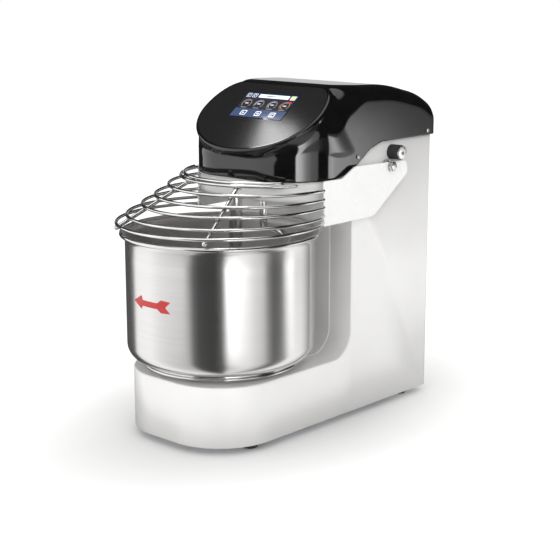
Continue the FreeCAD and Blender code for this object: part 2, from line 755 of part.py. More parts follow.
def control_panel():
    plate = panel_slab(4.2, 0.0, FASCIA_T)
    window = screen_slab(0.15, -1.0, FASCIA_T + 2)
    return plate.cut(window)


def screen_slab(grow, depth, thick, half_w=SCREEN_HALF_W, half_h=SCREEN_HALF_H):
    corners = [(-half_w - grow, -half_h - grow), (half_w + grow, -half_h - grow),
               (half_w + grow, half_h + grow), (-half_w - grow, half_h + grow)]
    points = [panel_point(u, v, depth) for u, v in corners]
    return Part.Face(Part.makePolygon(points + points[:1])).extrude(PANEL_IN * thick)


def touch_glass():
    return screen_slab(0.0, 0.0, FASCIA_T)


def display_module():
    return screen_slab(3.0, FASCIA_T, 7.0)


def control_board():
    board = screen_slab(8.0, 18.0, 1.6)
    posts = []
    for u in (-50, 50):
        for v in (-24, 24):
            start = panel_point(u, v, FASCIA_T + 7.0)
            posts.append(Part.makeCylinder(2.5, 18.0 - FASCIA_T - 7.0, start, PANEL_IN))
    chips = [Part.makeBox(16, 12, 3) for _ in range(2)]
    for chip, u in zip(chips, (-30, 14)):
        chip.rotate(V(0, 0, 0), V(1, 0, 0), math.degrees(PANEL_TILT))
        chip.translate(panel_point(u, -6, 22.6))
    return fuse([board] + posts + chips)


# ---- breaker bar -------------------------------------------------------------------------------------------
BREAKER_Z0 = 112.0
BREAKER_FLANGE_R = 17.0


def breaker_bolt_spots():
    x, y = BREAKER_XY
    reach = 13.0
    return [(x + dx * reach * math.sqrt(0.5), y + dy * reach * math.sqrt(0.5))
            for dx in (-1, 1) for dy in (-1, 1)]


def breaker_bar():
    """Fixed bar beside the spiral, hung from the head plate by its flange."""
    top = HEAD_PLATE_Z[0]
    bar = cyl(BREAKER_R, BREAKER_Z0, top, BREAKER_XY)
    tip = [e for e in bar.Edges if abs(e.BoundBox.ZMax - BREAKER_Z0) < 0.01]
    bar = bar.makeFillet(4.0, tip)
    flange = cyl(BREAKER_FLANGE_R, top - 8, top, BREAKER_XY)
    bar = bar.fuse(flange)
    for spot in breaker_bolt_spots():
        bar = bar.cut(cyl(3, top - 9, top + 1, spot))
    return bar


def breaker_bolts():
    z0, z1 = HEAD_PLATE_Z[0] - 8, HEAD_PLATE_Z[1]
    bolts = []
    for spot in breaker_bolt_spots():
        head = cyl(5, z1, z1 + 5, spot).cut(cyl(2.6, z1 + 2, z1 + 6, spot))
        bolts.append(cyl(3, z0, z1, spot).fuse(head))
    return bolts


# ---- spiral ------------------------------------------------------------------------------------------------
HOOK_TOP = 336.0
COIL_TOP = 286.0
COIL_BOTTOM = 118.5
COIL_TURNS = 2.15


def hook_centre(share):
    """Centre line of the coil, from the foot of the stem (0) to the tip at the bowl's floor (1)."""
    x, y = SPIRAL_XY
    angle = math.radians(150) - 2 * math.pi * COIL_TURNS * share
    grow = min(1.0, share / 0.20)
    close = max(0.0, (share - 0.90) / 0.10)
    radius = SPIRAL_COIL_R * math.sin(grow * math.pi / 2) ** 1.3 * (1 - 0.55 * close * close)
    drop = share ** 1.12
    z = COIL_TOP - (COIL_TOP - COIL_BOTTOM) * drop
    return V(x + radius * math.cos(angle), y + radius * math.sin(angle), z)


def spiral_hook():
    x, y = SPIRAL_XY
    stem = [V(x, y, HOOK_TOP), V(x, y, 310), V(x, y, 296)]
    steps = 44
    points = stem + [hook_centre(k / steps) for k in range(1, steps + 1)]
    curve = Part.BSplineCurve()
    curve.interpolate(points, InitialTangent=V(0, 0, -1), FinalTangent=points[-1] - points[-2])
    path = Part.Wire(curve.toShape())
    section = Part.Wire(Part.makeCircle(SPIRAL_ROD_R, points[0], V(0, 0, -1)))
    hook = path.makePipeShell([section], True, False)
    expected = math.pi * SPIRAL_ROD_R ** 2 * path.Length
    print("spiral rod volume over section times length: %.4f" % (hook.Volume / expected))
    tip = Part.makeSphere(SPIRAL_ROD_R, points[-1])
    return hook.fuse(tip)


def spiral_shaft():
    """Upright shaft in the head; its socket holds the hook's stem."""
    low = PAN_Z0 + 3
    shaft = cyl(SHAFT_R, low, 392, SPIRAL_XY)
    collar = cyl(11, 352, 356, SPIRAL_XY)
    return shaft.fuse(collar).cut(cyl(SPIRAL_ROD_R, low - 1, HOOK_TOP, SPIRAL_XY))


def spiral_sprocket():
    z0, z1 = TOP_SPROCKET_Z
    return toothed_disc(SPIRAL_TEETH, TOP_PITCH, z0, z1, SHAFT_R, SPIRAL_XY)


def spiral_housing():
    z0, z1 = SPIRAL_BEARING_Z[0], SPIRAL_BEARING_Z[1] + SMALL_BEARING_W
    body = cyl(SPIRAL_HOUSING_R, z0, z1, SPIRAL_XY)
    flange = cyl(31, HEAD_PLATE_Z[1], HEAD_PLATE_Z[1] + 6, SPIRAL_XY)
    flange = flange.common(u_plan(104, PAN_FRONT + 3.5, 68, COLUMN_Y, 0, 320, 400))
    body = body.fuse(flange)
    for z in SPIRAL_BEARING_Z:
        body = body.cut(cyl(SMALL_BEARING_R, z, z + SMALL_BEARING_W, SPIRAL_XY))
    return body.cut(cyl(15, z0 - 1, z1 + 1, SPIRAL_XY))


def spiral_seal():
    return tube(SPIRAL_ROD_R + 0.4, 13, PAN_Z0 - 2, PAN_Z0 + SHEET, SPIRAL_XY)


# ---- main shaft, motor, belts --------------------------------------------------------------------------------
BRACKET_Z = (56.0, 61.0)
LOW_BEARING_Z = 54.0


def shaft_bracket():
    z0, z1 = BRACKET_Z
    half = BODY_HALF_W - SHEET
    plate = block(-half, half, MAIN_XY[1] - 28, MAIN_XY[1] + 28, z0, z1)
    hub = cyl(24, LOW_BEARING_Z - 4, LOW_BEARING_Z + SMALL_BEARING_W, MAIN_XY)
    bracket = plate.fuse(hub)
    bracket = bracket.cut(cyl(SMALL_BEARING_R, LOW_BEARING_Z, LOW_BEARING_Z + 30, MAIN_XY))
    return bracket.cut(cyl(14, LOW_BEARING_Z - 9, LOW_BEARING_Z + 30, MAIN_XY))


def shaft_bearings():
    """The four equal bearings: two on the spiral's shaft and two on the main shaft."""
    places = [(z, SPIRAL_XY) for z in SPIRAL_BEARING_Z]
    places += [(LOW_BEARING_Z, MAIN_XY), (HEAD_PLATE_Z[0] - 2, MAIN_XY)]
    return [bearing(SHAFT_R + RUN_FIT, SMALL_BEARING_R, z, SMALL_BEARING_W, xy) for z, xy in places]


def main_shaft():
    shaft = cyl(SHAFT_R, 22, 392, MAIN_XY)
    collar = cyl(12, LOW_BEARING_Z + SMALL_BEARING_W + 1, LOW_BEARING_Z + SMALL_BEARING_W + 6, MAIN_XY)
    return shaft.fuse(collar)


def grooved_pulley(radius, bore_r, xy):
    z0, z1 = PULLEY_Z
    ribs = 6
    outline = [(bore_r, z0), (radius + 2.0, z0), (radius + 2.0, z0 + 1.5)]
    step = (z1 - z0 - 3.0) / ribs
    for k in range(ribs):
        base = z0 + 1.5 + step * k
        outline += [(radius - 2.0, base + 0.2 * step), (radius - 0.4, base + 0.5 * step),
                    (radius - 2.0, base + 0.8 * step)]
    outline += [(radius + 2.0, z1 - 1.5), (radius + 2.0, z1), (bore_r, z1)]
    return turned(outline, xy)


def driven_pulley():
    z0, z1 = PULLEY_Z
    pulley = grooved_pulley(DRIVEN_PULLEY_R, SHAFT_R, MAIN_XY)
    for level in (z0 - 1, z0 + 10):
        pulley = pulley.cut(tube(20, 58, level, level + 7, MAIN_XY))
    for k in range(5):
        angle = math.radians(72 * k)
        spot = (MAIN_XY[0] + 39 * math.cos(angle), MAIN_XY[1] + 39 * math.sin(angle))
        pulley = pulley.cut(cyl(11, z0 - 1, z1 + 1, spot))
    return pulley


def motor_pulley():
    return grooved_pulley(MOTOR_PULLEY_R, 7.0, MOTOR_XY)


def main_top_sprocket():
    z0, z1 = TOP_SPROCKET_Z
    wheel = toothed_disc(MAIN_TOP_TEETH, TOP_PITCH, z0, z1, SHAFT_R, MAIN_XY)
    return wheel.fuse(tube(SHAFT_R, 16, PULLEY_Z[1], z0, MAIN_XY))


def main_low_sprocket():
    z0, z1 = SPROCKET_Z
    wheel = toothed_disc(MAIN_LOW_TEETH, CHAIN_PITCH, z0, z1, SHAFT_R, MAIN_XY)
    return wheel.fuse(tube(SHAFT_R, 12, z1, z1 + 8, MAIN_XY))


def drive_belt():
    z0, z1 = PULLEY_Z
    return belt_loop(MAIN_XY, DRIVEN_PULLEY_R, MOTOR_XY, MOTOR_PULLEY_R, 1.6, z0 + 1.8, z1 - 1.8)


def roller_chain(xy_a, teeth_a, xy_b, teeth_b, pitch, levels):
    r_a, r_b = sprocket_r(teeth_a, pitch), sprocket_r(teeth_b, pitch)
    return belt_loop(xy_a, r_a, xy_b, r_b, 3.0, *levels)


MOTOR_Z = (168.0, 332.0)
MOTOR_R = 47.0


def motor_body():
    z0, z1 = MOTOR_Z
    fins = 28
    points = []
    for i in range(fins):
        for share, radius in ((0.0, MOTOR_R - 5), (0.55, MOTOR_R - 5), (0.60, MOTOR_R), (0.95, MOTOR_R)):
            angle = 2 * math.pi * (i + share) / fins
            points.append(V(MOTOR_XY[0] + radius * math.cos(angle),
                            MOTOR_XY[1] + radius * math.sin(angle), z0 + 12))
    finned = Part.Face(Part.makePolygon(points + points[:1])).extrude(V(0, 0, z1 - z0 - 24))
    bells = [cyl(MOTOR_R + 1, z0, z0 + 12, MOTOR_XY), cyl(MOTOR_R + 1, z1 - 12, z1, MOTOR_XY)]
    terminal_box = block(MOTOR_XY[0] + 30, MOTOR_XY[0] + 70, MOTOR_XY[1] - 22, MOTOR_XY[1] + 22, 230, 290)
    body = fuse([finned, terminal_box] + bells)
    return body.cut(cyl(7.0 + RUN_FIT, z0 - 1, z1 + 1, MOTOR_XY))


def motor_mount():
    x, y = MOTOR_XY
    plate = block(x - 58, x + 58, y - 50, y + 48, MOTOR_Z[1], HEAD_PLATE_Z[0])
    plate = plate.cut(cyl(18, MOTOR_Z[1] - 1, HEAD_PLATE_Z[0] + 1, MOTOR_XY))
    for dx in (-48, 48):
        for dy in (-38, 38):
            slot = block(x + dx - 3.3, x + dx + 3.3, y + dy - 6, y + dy + 6, MOTOR_Z[1] - 1,
                         HEAD_PLATE_Z[0] + 1)
            plate = plate.cut(slot)
    return plate


def motor_shaft():
    """Rotor shaft with the cooling fan under the motor."""
    shaft = cyl(7.0, 150, PULLEY_Z[1] + 2, MOTOR_XY)
    hub = cyl(14, 152, 164, MOTOR_XY)
    blades = []
    for k in range(8):
        blade = block(12, 42, -1, 1, 152, 164)
        blade.rotate(V(0, 0, 0), UP, 45 * k)
        blade.translate(V(MOTOR_XY[0], MOTOR_XY[1], 0))
        blades.append(blade)
    return fuse([shaft, hub] + blades)


# ---- wire guard ------------------------------------------------------------------------------------------------
def guard_arm():
    """Right side plate: the rings are welded to its front edge and it turns on the pivot bush."""
    outline = [
        (ARM_FRONT, 290.0, 2),
        (183.0, 290.5, 20),
        (263.0, 344.5, 11),
        (256.5, 362.2, 8),
        (142.0, 365.0, 17),
        (114.0, 350.8, 14),
        (ARM_FRONT, 351.5, 3),
    ]
    plate = side_solid(outline, ARM_IN, ARM_OUT)
    return plate.cut(x_cyl(PIVOT_R + RUN_FIT, ARM_IN - 1, ARM_OUT + 1, HINGE_Y, HINGE_Z))


def guard_ring(centre_y, radius, z, left, right):
    """Bent rod: a plan arc round the front, with ball ends or cut square at the side plates."""
    past_plate = math.degrees(math.acos((centre_y - ARM_FRONT - 4.0) / radius))
    start = -past_plate if left is None else left
    end = past_plate if right is None else right

    def at(degrees):
        angle = math.radians(degrees)
        return V(radius * math.sin(angle), centre_y - radius * math.cos(angle), z)

    path = Part.Wire(Part.Arc(at(start), at((start + end) / 2), at(end)).toShape())
    along = V(math.cos(math.radians(start)), math.sin(math.radians(start)), 0)
    section = Part.Wire(Part.makeCircle(WIRE_R, at(start), along))
    rod = path.makePipeShell([section], True, False)
    rod = rod.cut(block(-160, 160, ARM_FRONT, ARM_FRONT + 60, z - 10, z + 10))
    balls = [Part.makeSphere(WIRE_R, at(free)) for free in (left, right) if free is not None]
    return rod.multiFuse(balls) if balls else rod


RIB_TOP = V(45.0, -10.6, 351.7)
RIB_FOOT = V(84.3, -112.7, 294.7)
CLIP_REACH = 6.5         # half width of the triangular clip at a rib's top
CLIP_LENGTH = 11.0
CLIP_T = 1.6


def guard_rib(rings):
    """Straight rod under the rings, with a triangular clip at the top and a weld bead at the foot."""
    along = RIB_FOOT - RIB_TOP
    along.normalize()
    across = V(math.cos(math.radians(30)), math.sin(math.radians(30)), 0)
    inward = along.cross(across)
    inward.normalize()
    if inward.z > 0:
        inward = inward * -1
    side = along.cross(inward)
    side.normalize()
    offset = inward * (WIRE_R + RIB_R - 0.5)
    top, foot = RIB_TOP + offset - along * 3, RIB_FOOT + offset + along * 2
    apex = top - along * 2
    base = apex + along * CLIP_LENGTH
    corners = [apex, base + side * CLIP_REACH, base - side * CLIP_REACH, apex]
    clip = Part.Face(Part.makePolygon(corners)).extrude(inward * CLIP_T)
    rib = fuse([bar_between(top, foot, RIB_R), clip, Part.makeSphere(RIB_R + 0.7, foot)])
    for ring in rings:
        rib = rib.cut(ring)
    return largest(rib)


def pivot_bushes():
    """Spacer and bearing of a side plate, pressed against the chassis."""
    sleeve = x_cyl(PIVOT_R, BODY_HALF_W, ARM_OUT + 0.3, HINGE_Y, HINGE_Z)
    shoulder = x_cyl(9.0, BODY_HALF_W, ARM_IN - 0.3, HINGE_Y, HINGE_Z)
    return pair(sleeve.fuse(shoulder).cut(x_cyl(4.0, 100, 130, HINGE_Y, HINGE_Z)))


def pivot_bolts():
    out = ARM_OUT + 0.3
    nut_face = BODY_HALF_W - SHEET
    nut_back = nut_face - 5.0
    shank = x_cyl(4.0, nut_back - 0.4, out, HINGE_Y, HINGE_Z)
    washer = x_cyl(8.0, out, out + 1.0, HINGE_Y, HINGE_Z)
    head = hex_prism_x(12.6, out + 1.0, out + 5.6, HINGE_Y, HINGE_Z)
    crown = Part.makeSphere(16.0, V(out - 9.6, HINGE_Y, HINGE_Z))
    nut = hex_prism_x(13, nut_back, nut_face, HINGE_Y, HINGE_Z)
    return pair(fuse([shank, washer, head.common(crown), nut]))


BUFFER_OUT = 128.8


def stop_buffers():
    y, z = BUFFER_YZ
    body = x_cyl(BUFFER_R, BODY_HALF_W, BUFFER_OUT, y, z)
    body = body.makeFillet(0.8, [e for e in body.Edges if e.BoundBox.XMin > BUFFER_OUT - 0.1])
    return pair(body.cut(x_cyl(3.0, 100, 140, y, z)))


def buffer_screws():
    y, z = BUFFER_YZ
    shank = x_cyl(3.0, 102, BUFFER_OUT, y, z)
    head = x_cyl(BUFFER_R - 1.0, BUFFER_OUT, BUFFER_OUT + 2.8, y, z)
    head = head.makeFillet(0.9, [e for e in head.Edges if e.BoundBox.XMin > BUFFER_OUT + 2.7])
    head = head.cut(hex_prism_x(4.0, BUFFER_OUT + 0.8, BUFFER_OUT + 4, y, z))
    nut = hex_prism_x(10, 103, BODY_HALF_W - SHEET, y, z)
    return pair(fuse([shank, head, nut]))


def guard_sensor():
    """Position switch for the guard, screwed to the pan's front corner under the cover's edge."""
    angle = math.radians(22)
    body = block(-15, 15, -6, 0.0, 344, 349)
    body = body.makeFillet(1.0, [e for e in body.Edges if abs(e.BoundBox.ZLength - 5) < 0.01])
    body.rotate(V(0, 0, 0), UP, math.degrees(angle))
    corner_x, corner_y = BODY_HALF_W - PAN_CORNER_R, PAN_FRONT + PAN_CORNER_R
    reach = PAN_CORNER_R + 1.5
    body.translate(V(corner_x + reach * math.sin(angle), corner_y - reach * math.cos(angle), 0))
    return largest(body.cut(pan_form(0.0, 320, 400)))


def main():
    os.makedirs("parts", exist_ok=True)
    save("body_shell", body_shell())
    save("deck_plate", deck_plate())
    save("bottom_plate", bottom_plate())
    save("rubber_feet", *rubber_feet())
    save("rear_panel", rear_panel())
    save("panel_screws", *panel_screws())
    save("power_inlet", power_inlet())
    save("switch_housing", switch_housing())
    save("power_switch", power_switch())
    save("inverter_box", inverter_box())
    save("bowl", bowl())
    save("turntable", turntable())
    save("bowl_shaft", bowl_shaft())
    save("bowl_sprocket", bowl_sprocket())
    save("bowl_housing", bowl_housing())
    save("bowl_bearings", *bowl_bearings())
    save("head_pan", head_pan())
    save("head_plate", head_plate())
    save("head_cover", head_cover())
    save("cover_screws", *cover_screws())
    save("control_panel", control_panel())
    save("touch_glass", touch_glass())
    save("display_module", display_module())
    save("control_board", control_board())
    save("breaker_bar", breaker_bar())
    save("breaker_bolts", *breaker_bolts())
    save("spiral_hook", spiral_hook())
    save("spiral_shaft", spiral_shaft())
    save("spiral_sprocket", spiral_sprocket())
    save("spiral_housing", spiral_housing())
    save("shaft_bearings", *shaft_bearings())
    save("spiral_seal", spiral_seal())
    save("shaft_bracket", shaft_bracket())
    save("main_shaft", main_shaft())
    save("driven_pulley", driven_pulley())
    save("main_top_sprocket", main_top_sprocket())
    save("main_low_sprocket", main_low_sprocket())
    save("drive_belt", drive_belt())
    save("spiral_chain", roller_chain(MAIN_XY, MAIN_TOP_TEETH, SPIRAL_XY, SPIRAL_TEETH, TOP_PITCH,
                                      TOP_CHAIN_Z))
    save("bowl_chain", roller_chain((0.0, 0.0), BOWL_TEETH, MAIN_XY, MAIN_LOW_TEETH, CHAIN_PITCH,
                                    BOWL_CHAIN_Z))
    save("motor_body", motor_body())
    save("motor_mount", motor_mount())
    save("motor_shaft", motor_shaft())
    save("motor_pulley", motor_pulley())
    arm = guard_arm()
    save("guard_arm_right", arm)
    save("guard_arm_left", mirrored(arm))
    rings = []
    for number, ring in enumerate(RINGS, 1):
        rings.append(guard_ring(*ring, *FREE_ENDS.get(number, (None, None))))
    for number, ring in enumerate(rings, 1):
        save("guard_ring_%d" % number, ring.copy())
    rib = guard_rib(rings)
    save("guard_rib_right", rib.copy())
    save("guard_rib_left", mirrored(rib))
    save("pivot_bushes", *pivot_bushes())
    save("pivot_bolts", *pivot_bolts())
    save("stop_buffers", *stop_buffers())
    save("buffer_screws", *buffer_screws())
    save("guard_sensor", guard_sensor())


main()
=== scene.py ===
import json
from math import acos, cos, pi, radians, sin, sqrt, tan
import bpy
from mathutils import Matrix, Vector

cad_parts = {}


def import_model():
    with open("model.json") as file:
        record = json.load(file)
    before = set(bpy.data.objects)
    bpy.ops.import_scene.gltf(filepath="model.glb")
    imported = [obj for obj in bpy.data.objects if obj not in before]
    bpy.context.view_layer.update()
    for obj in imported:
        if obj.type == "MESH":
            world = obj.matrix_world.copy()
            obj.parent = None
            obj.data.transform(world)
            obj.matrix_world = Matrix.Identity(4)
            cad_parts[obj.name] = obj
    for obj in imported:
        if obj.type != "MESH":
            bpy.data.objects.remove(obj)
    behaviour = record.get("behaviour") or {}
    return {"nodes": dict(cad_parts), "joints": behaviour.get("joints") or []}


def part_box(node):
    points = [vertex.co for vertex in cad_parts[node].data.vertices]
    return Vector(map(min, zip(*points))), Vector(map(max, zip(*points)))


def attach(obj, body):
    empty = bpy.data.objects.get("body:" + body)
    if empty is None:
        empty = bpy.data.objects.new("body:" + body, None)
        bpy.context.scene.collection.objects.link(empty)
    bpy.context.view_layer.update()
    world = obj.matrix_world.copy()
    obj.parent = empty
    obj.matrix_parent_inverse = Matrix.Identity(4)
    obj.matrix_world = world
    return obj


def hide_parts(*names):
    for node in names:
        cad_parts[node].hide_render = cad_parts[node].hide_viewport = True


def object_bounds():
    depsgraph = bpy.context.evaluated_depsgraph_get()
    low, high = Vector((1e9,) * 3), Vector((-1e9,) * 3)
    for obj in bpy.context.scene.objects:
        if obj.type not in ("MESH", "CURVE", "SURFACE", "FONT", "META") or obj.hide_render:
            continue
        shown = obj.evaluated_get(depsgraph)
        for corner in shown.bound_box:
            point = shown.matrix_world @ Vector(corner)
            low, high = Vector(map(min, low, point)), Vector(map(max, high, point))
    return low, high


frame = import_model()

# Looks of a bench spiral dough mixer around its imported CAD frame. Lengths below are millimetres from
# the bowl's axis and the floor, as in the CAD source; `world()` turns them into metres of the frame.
from types import SimpleNamespace

import bmesh
import bpy
import numpy as np
from mathutils import Vector

CAD_LOW, CAD_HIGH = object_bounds()
MM = 0.001
JOINTS = {joint["name"]: joint["pos_m"] for joint in frame["joints"]}
AXIS = JOINTS["bowl_spin"]


def world(x, y, z):
    return Vector((AXIS[0] + x * MM, AXIS[1] + y * MM, z * MM))


def box_mm(node):
    """The CAD node's box in millimetres from the bowl's axis and the floor."""
    low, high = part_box(node)
    return SimpleNamespace(
        x0=(low.x - AXIS[0]) / MM, x1=(high.x - AXIS[0]) / MM,
        y0=(low.y - AXIS[1]) / MM, y1=(high.y - AXIS[1]) / MM,
        z0=low.z / MM, z1=high.z / MM,
    )


# ---- driving dimensions, from the frame ----
SHELL = box_mm("body_shell")
DECK = box_mm("deck_plate")
PAN = box_mm("head_pan")
COVER = box_mm("head_cover")
GLASS = box_mm("touch_glass")
BOWL = box_mm("bowl")
DISC = box_mm("turntable")
ARM = box_mm("guard_arm_right")
BUFFERS = box_mm("stop_buffers")
BOLTS = box_mm("pivot_bolts")
BAR = box_mm("breaker_bar")
FEET = box_mm("rubber_feet")
HINGE_Y, HINGE_Z = (JOINTS["guard_hinge"][1] - AXIS[1]) / MM, JOINTS["guard_hinge"][2] / MM

SHEET = 2.0              # chassis and pan sheet
LIP_R = 2.2              # soft fold between the side panels and the deck
NOSE_R = 86.0            # plan radius of the base's front corners
REAR_R = 7.0
SWEEP_R = 37.0           # sweep from the deck up to the column
PAN_CORNER_R = 72.0
PAN_FILLET_R = 5.0
COVER_CORNER_R = 75.0
COVER_EDGE_R = 22.0      # roll between the cover's top and side
SHOULDER_R = 42.0        # the same beside the panel
SHOULDER_FRONT, SHOULDER_REAR = (78.0, 40.0), (178.0, 48.0)     # its ends over y, and the length of each change
COVER_WALL = 2.3
PANEL_TILT = radians(36.4)
PANEL_UP, PANEL_DOWN = 49.0, 91.0       # panel edges above and below the screen's centre
PANEL_HALF_W, PANEL_FLAT, PANEL_WIDEST = 110.0, 70.0, -10.0
GLASS_HALF_DEPTH = 1.3
SCREEN_Y = (GLASS.y0 + GLASS.y1) / 2 - GLASS_HALF_DEPTH * sin(PANEL_TILT)
SCREEN_Z = (GLASS.z0 + GLASS.z1) / 2 + GLASS_HALF_DEPTH * cos(PANEL_TILT)
SCREEN_HALF_W = GLASS.x1
SCREEN_HALF_H = 26.7
WIRE_R = 2.25
RING_COUNT = 7
NEAR_AXIS = 0.01         # a turned piece's points on its axis
# degrees from the front at which a ring's free ends lie; None is an end on a side plate
FREE_ENDS = {6: (None, 61.0), 7: (-72.0, 50.0)}


# ---- mesh makers ----
def in_scene(name, data):
    obj = bpy.data.objects.new(name, data)
    bpy.context.scene.collection.objects.link(obj)
    return obj


def soften(obj, width, segments=3):
    """Rounds the piece's edges by `width` millimetres and keeps its flats flat."""
    bevel = obj.modifiers.new("edges", "BEVEL")
    bevel.width = width * MM
    bevel.segments = segments
    bevel.limit_method = "ANGLE"
    bevel.angle_limit = radians(35)
    bevel.harden_normals = True
    return obj


def thicken(obj, depth):
    """Gives an open skin its sheet thickness, inward."""
    solid = obj.modifiers.new("sheet", "SOLIDIFY")
    solid.thickness = depth * MM
    solid.offset = -1.0
    solid.use_even_offset = True
    return obj


class Build:
    """Collects points and faces of one piece, in millimetres."""

    def __init__(self):
        self.verts, self.faces = [], []

    def add(self, verts, faces):
        base = len(self.verts)
        self.verts += [tuple(v) for v in verts]
        self.faces += [[base + i for i in face] for face in faces]
        return self

    def loft(self, rings, closed=True, caps=(False, False)):
        """Quads between rings of equal length; `caps` closes the first and last ring."""
        count = len(rings[0])
        faces = []
        for low in range(0, (len(rings) - 1) * count, count):
            for i in range(count if closed else count - 1):
                j = (i + 1) % count
                faces.append([low + i, low + j, low + count + j, low + count + i])
        if caps[0]:
            faces.append(list(range(count))[::-1])
        if caps[1]:
            faces.append([(len(rings) - 1) * count + i for i in range(count)])
        return self.add([p for ring in rings for p in ring], faces)

    def turned(self, profile, centre=(0.0, 0.0), steps=128):
        """Solid of revolution about a vertical axis from a closed line of (radius, z) points."""
        x, y = centre
        return self.loft([[(x + radius * c, y + radius * s, z) for c, s in circle(steps)]
                          for radius, z in profile + profile[:1]])

    def turned_x(self, profile, centre, steps=48):
        """Solid of revolution about an axis along x through (y, z), from (radius, x) points."""
        y, z = centre
        return self.loft([[(x, y + radius * c, z + radius * s) for c, s in circle(steps)]
                          for radius, x in profile], caps=(True, True))

    def rod(self, points, radius, sides=20, round_ends=True):
        """A round rod along a line of points, with ball ends or flat ones."""
        points = [Vector(p) for p in points]
        last = len(points) - 1
        tangents = [(points[min(i + 1, last)] - points[max(i - 1, 0)]).normalized() for i in range(last + 1)]
        stations = [(p, radius, i) for i, p in enumerate(points)]
        if round_ends:
            ball = arc(0.0, 0.0, radius, 0.02, pi / 2, 7)[:-1]
            stations = ([(points[0] - tangents[0] * back, size, 0) for back, size in ball] + stations
                        + [(points[last] + tangents[last] * on, size, last) for on, size in ball[::-1]])
        normal = tangents[0].orthogonal().normalized()
        rings = []
        for centre, size, i in stations:
            normal = (normal - tangents[i] * normal.dot(tangents[i])).normalized()
            side = tangents[i].cross(normal)
            rings.append([centre + (normal * c + side * s) * size for c, s in circle(sides)])
        return self.loft(rings, caps=(True, True))

    def prism(self, outline, place, low, high):
        """Flat outline of (a, b) points, extruded; `place(a, b, h)` gives the point at height h."""
        return self.loft([[place(a, b, h) for a, b in outline] for h in (low, high)], caps=(True, True))

    def mirrored(self):
        """Adds the same geometry on the other side of the machine."""
        return self.add([(-x, y, z) for x, y, z in self.verts], [face[::-1] for face in self.faces])

    def piece(self, name, material, body, replaces=(), sharp=32.0, slot=None):
        """The finished piece, smooth except along edges sharper than `sharp` degrees."""
        mesh = bpy.data.meshes.new(name)
        mesh.from_pydata([world(*p) for p in self.verts], [], self.faces)
        bm = bmesh.new()
        bm.from_mesh(mesh)
        bmesh.ops.remove_doubles(bm, verts=bm.verts, dist=1e-7)
        bmesh.ops.recalc_face_normals(bm, faces=bm.faces)
        for face in bm.faces:
            face.smooth = True
        for edge in bm.edges:
            edge.smooth = not (len(edge.link_faces) == 2 and edge.calc_face_angle() > radians(sharp))
        bm.to_mesh(mesh)
        bm.free()
        obj = in_scene(name, mesh)
        mesh.materials.append(MATERIALS[material])
        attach(obj, body)
        if replaces:
            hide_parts(*replaces)
        return obj


def rounded(points, steps=10):
    """Closed outline through (a, b, radius) points with its corners rounded to their radii."""
    outline = []
    for i, (a, b, radius) in enumerate(points):
        if radius <= 0:
            outline.append((a, b))
            continue
        here = Vector((a, b))
        before = (Vector(points[i - 1][:2]) - here).normalized()
        after = (Vector(points[(i + 1) % len(points)][:2]) - here).normalized()
        half = before.angle(after) / 2
        reach = radius / tan(half)
        centre = here + (before + after).normalized() * (radius / sin(half))
        start, end = here + before * reach - centre, here + after * reach - centre
        turn = start.angle_signed(end)
        for angle in (-turn * k / steps for k in range(steps + 1)):
            spun = Vector((start.x * cos(angle) - start.y * sin(angle),
                           start.x * sin(angle) + start.y * cos(angle)))
            outline.append(tuple(centre + spun))
    return outline


def rectangle(a0, a1, b0, b1, radius, steps):
    """Upright rectangle with rounded corners."""
    return rounded([(a0, b0, radius), (a1, b0, radius), (a1, b1, radius), (a0, b1, radius)], steps)


def quarter(steps):
    """(sine, 1 - cosine) pairs over a quarter turn."""
    return [(sin(a), 1 - cos(a)) for a in np.linspace(0, pi / 2, steps + 1)]


def arc(a, b, radius, start, end, count, other_radius=None):
    """Points round (a, b), evenly from one angle to the other; elliptic with a second radius."""
    return [(a + radius * cos(t), b + (other_radius or radius) * sin(t))
            for t in np.linspace(start, end, count)]


def circle(steps):
    """(cosine, sine) pairs of equal steps round a full turn."""
    return [(cos(2 * pi * k / steps), sin(2 * pi * k / steps)) for k in range(steps)]


# ---- materials ----
MATERIALS = {}


class Nodes:
    """Short ways to add nodes to a node tree."""

    def __init__(self, tree):
        self.tree = tree

    def feed(self, node, key, value):
        """Sets one input to a value, or links it to the socket that feeds it."""
        if isinstance(value, bpy.types.NodeSocket):
            self.tree.links.new(value, node.inputs[key])
        else:
            node.inputs[key].default_value = value

    def node(self, kind, inputs=None, **settings):
        node = self.tree.nodes.new("ShaderNode" + kind)
        for key, value in settings.items():
            setattr(node, key, value)
        for key, value in (inputs or {}).items():
            self.feed(node, key, value)
        return node

    def calc(self, operation, a, b=0.0):
        return self.node("Math", {0: a, 1: b}, operation=operation).outputs[0]

    def blend(self, factor, low, high):
        """Mixes two colours; 6, 7 and 2 are where a mix node has its colour sockets."""
        return self.node("Mix", {"Factor": factor, 6: low, 7: high}, data_type="RGBA").outputs[2]

    def vector(self, operation, a, b=(0.0, 0.0, 0.0)):
        return self.node("VectorMath", {0: a, 1: b}, operation=operation).outputs


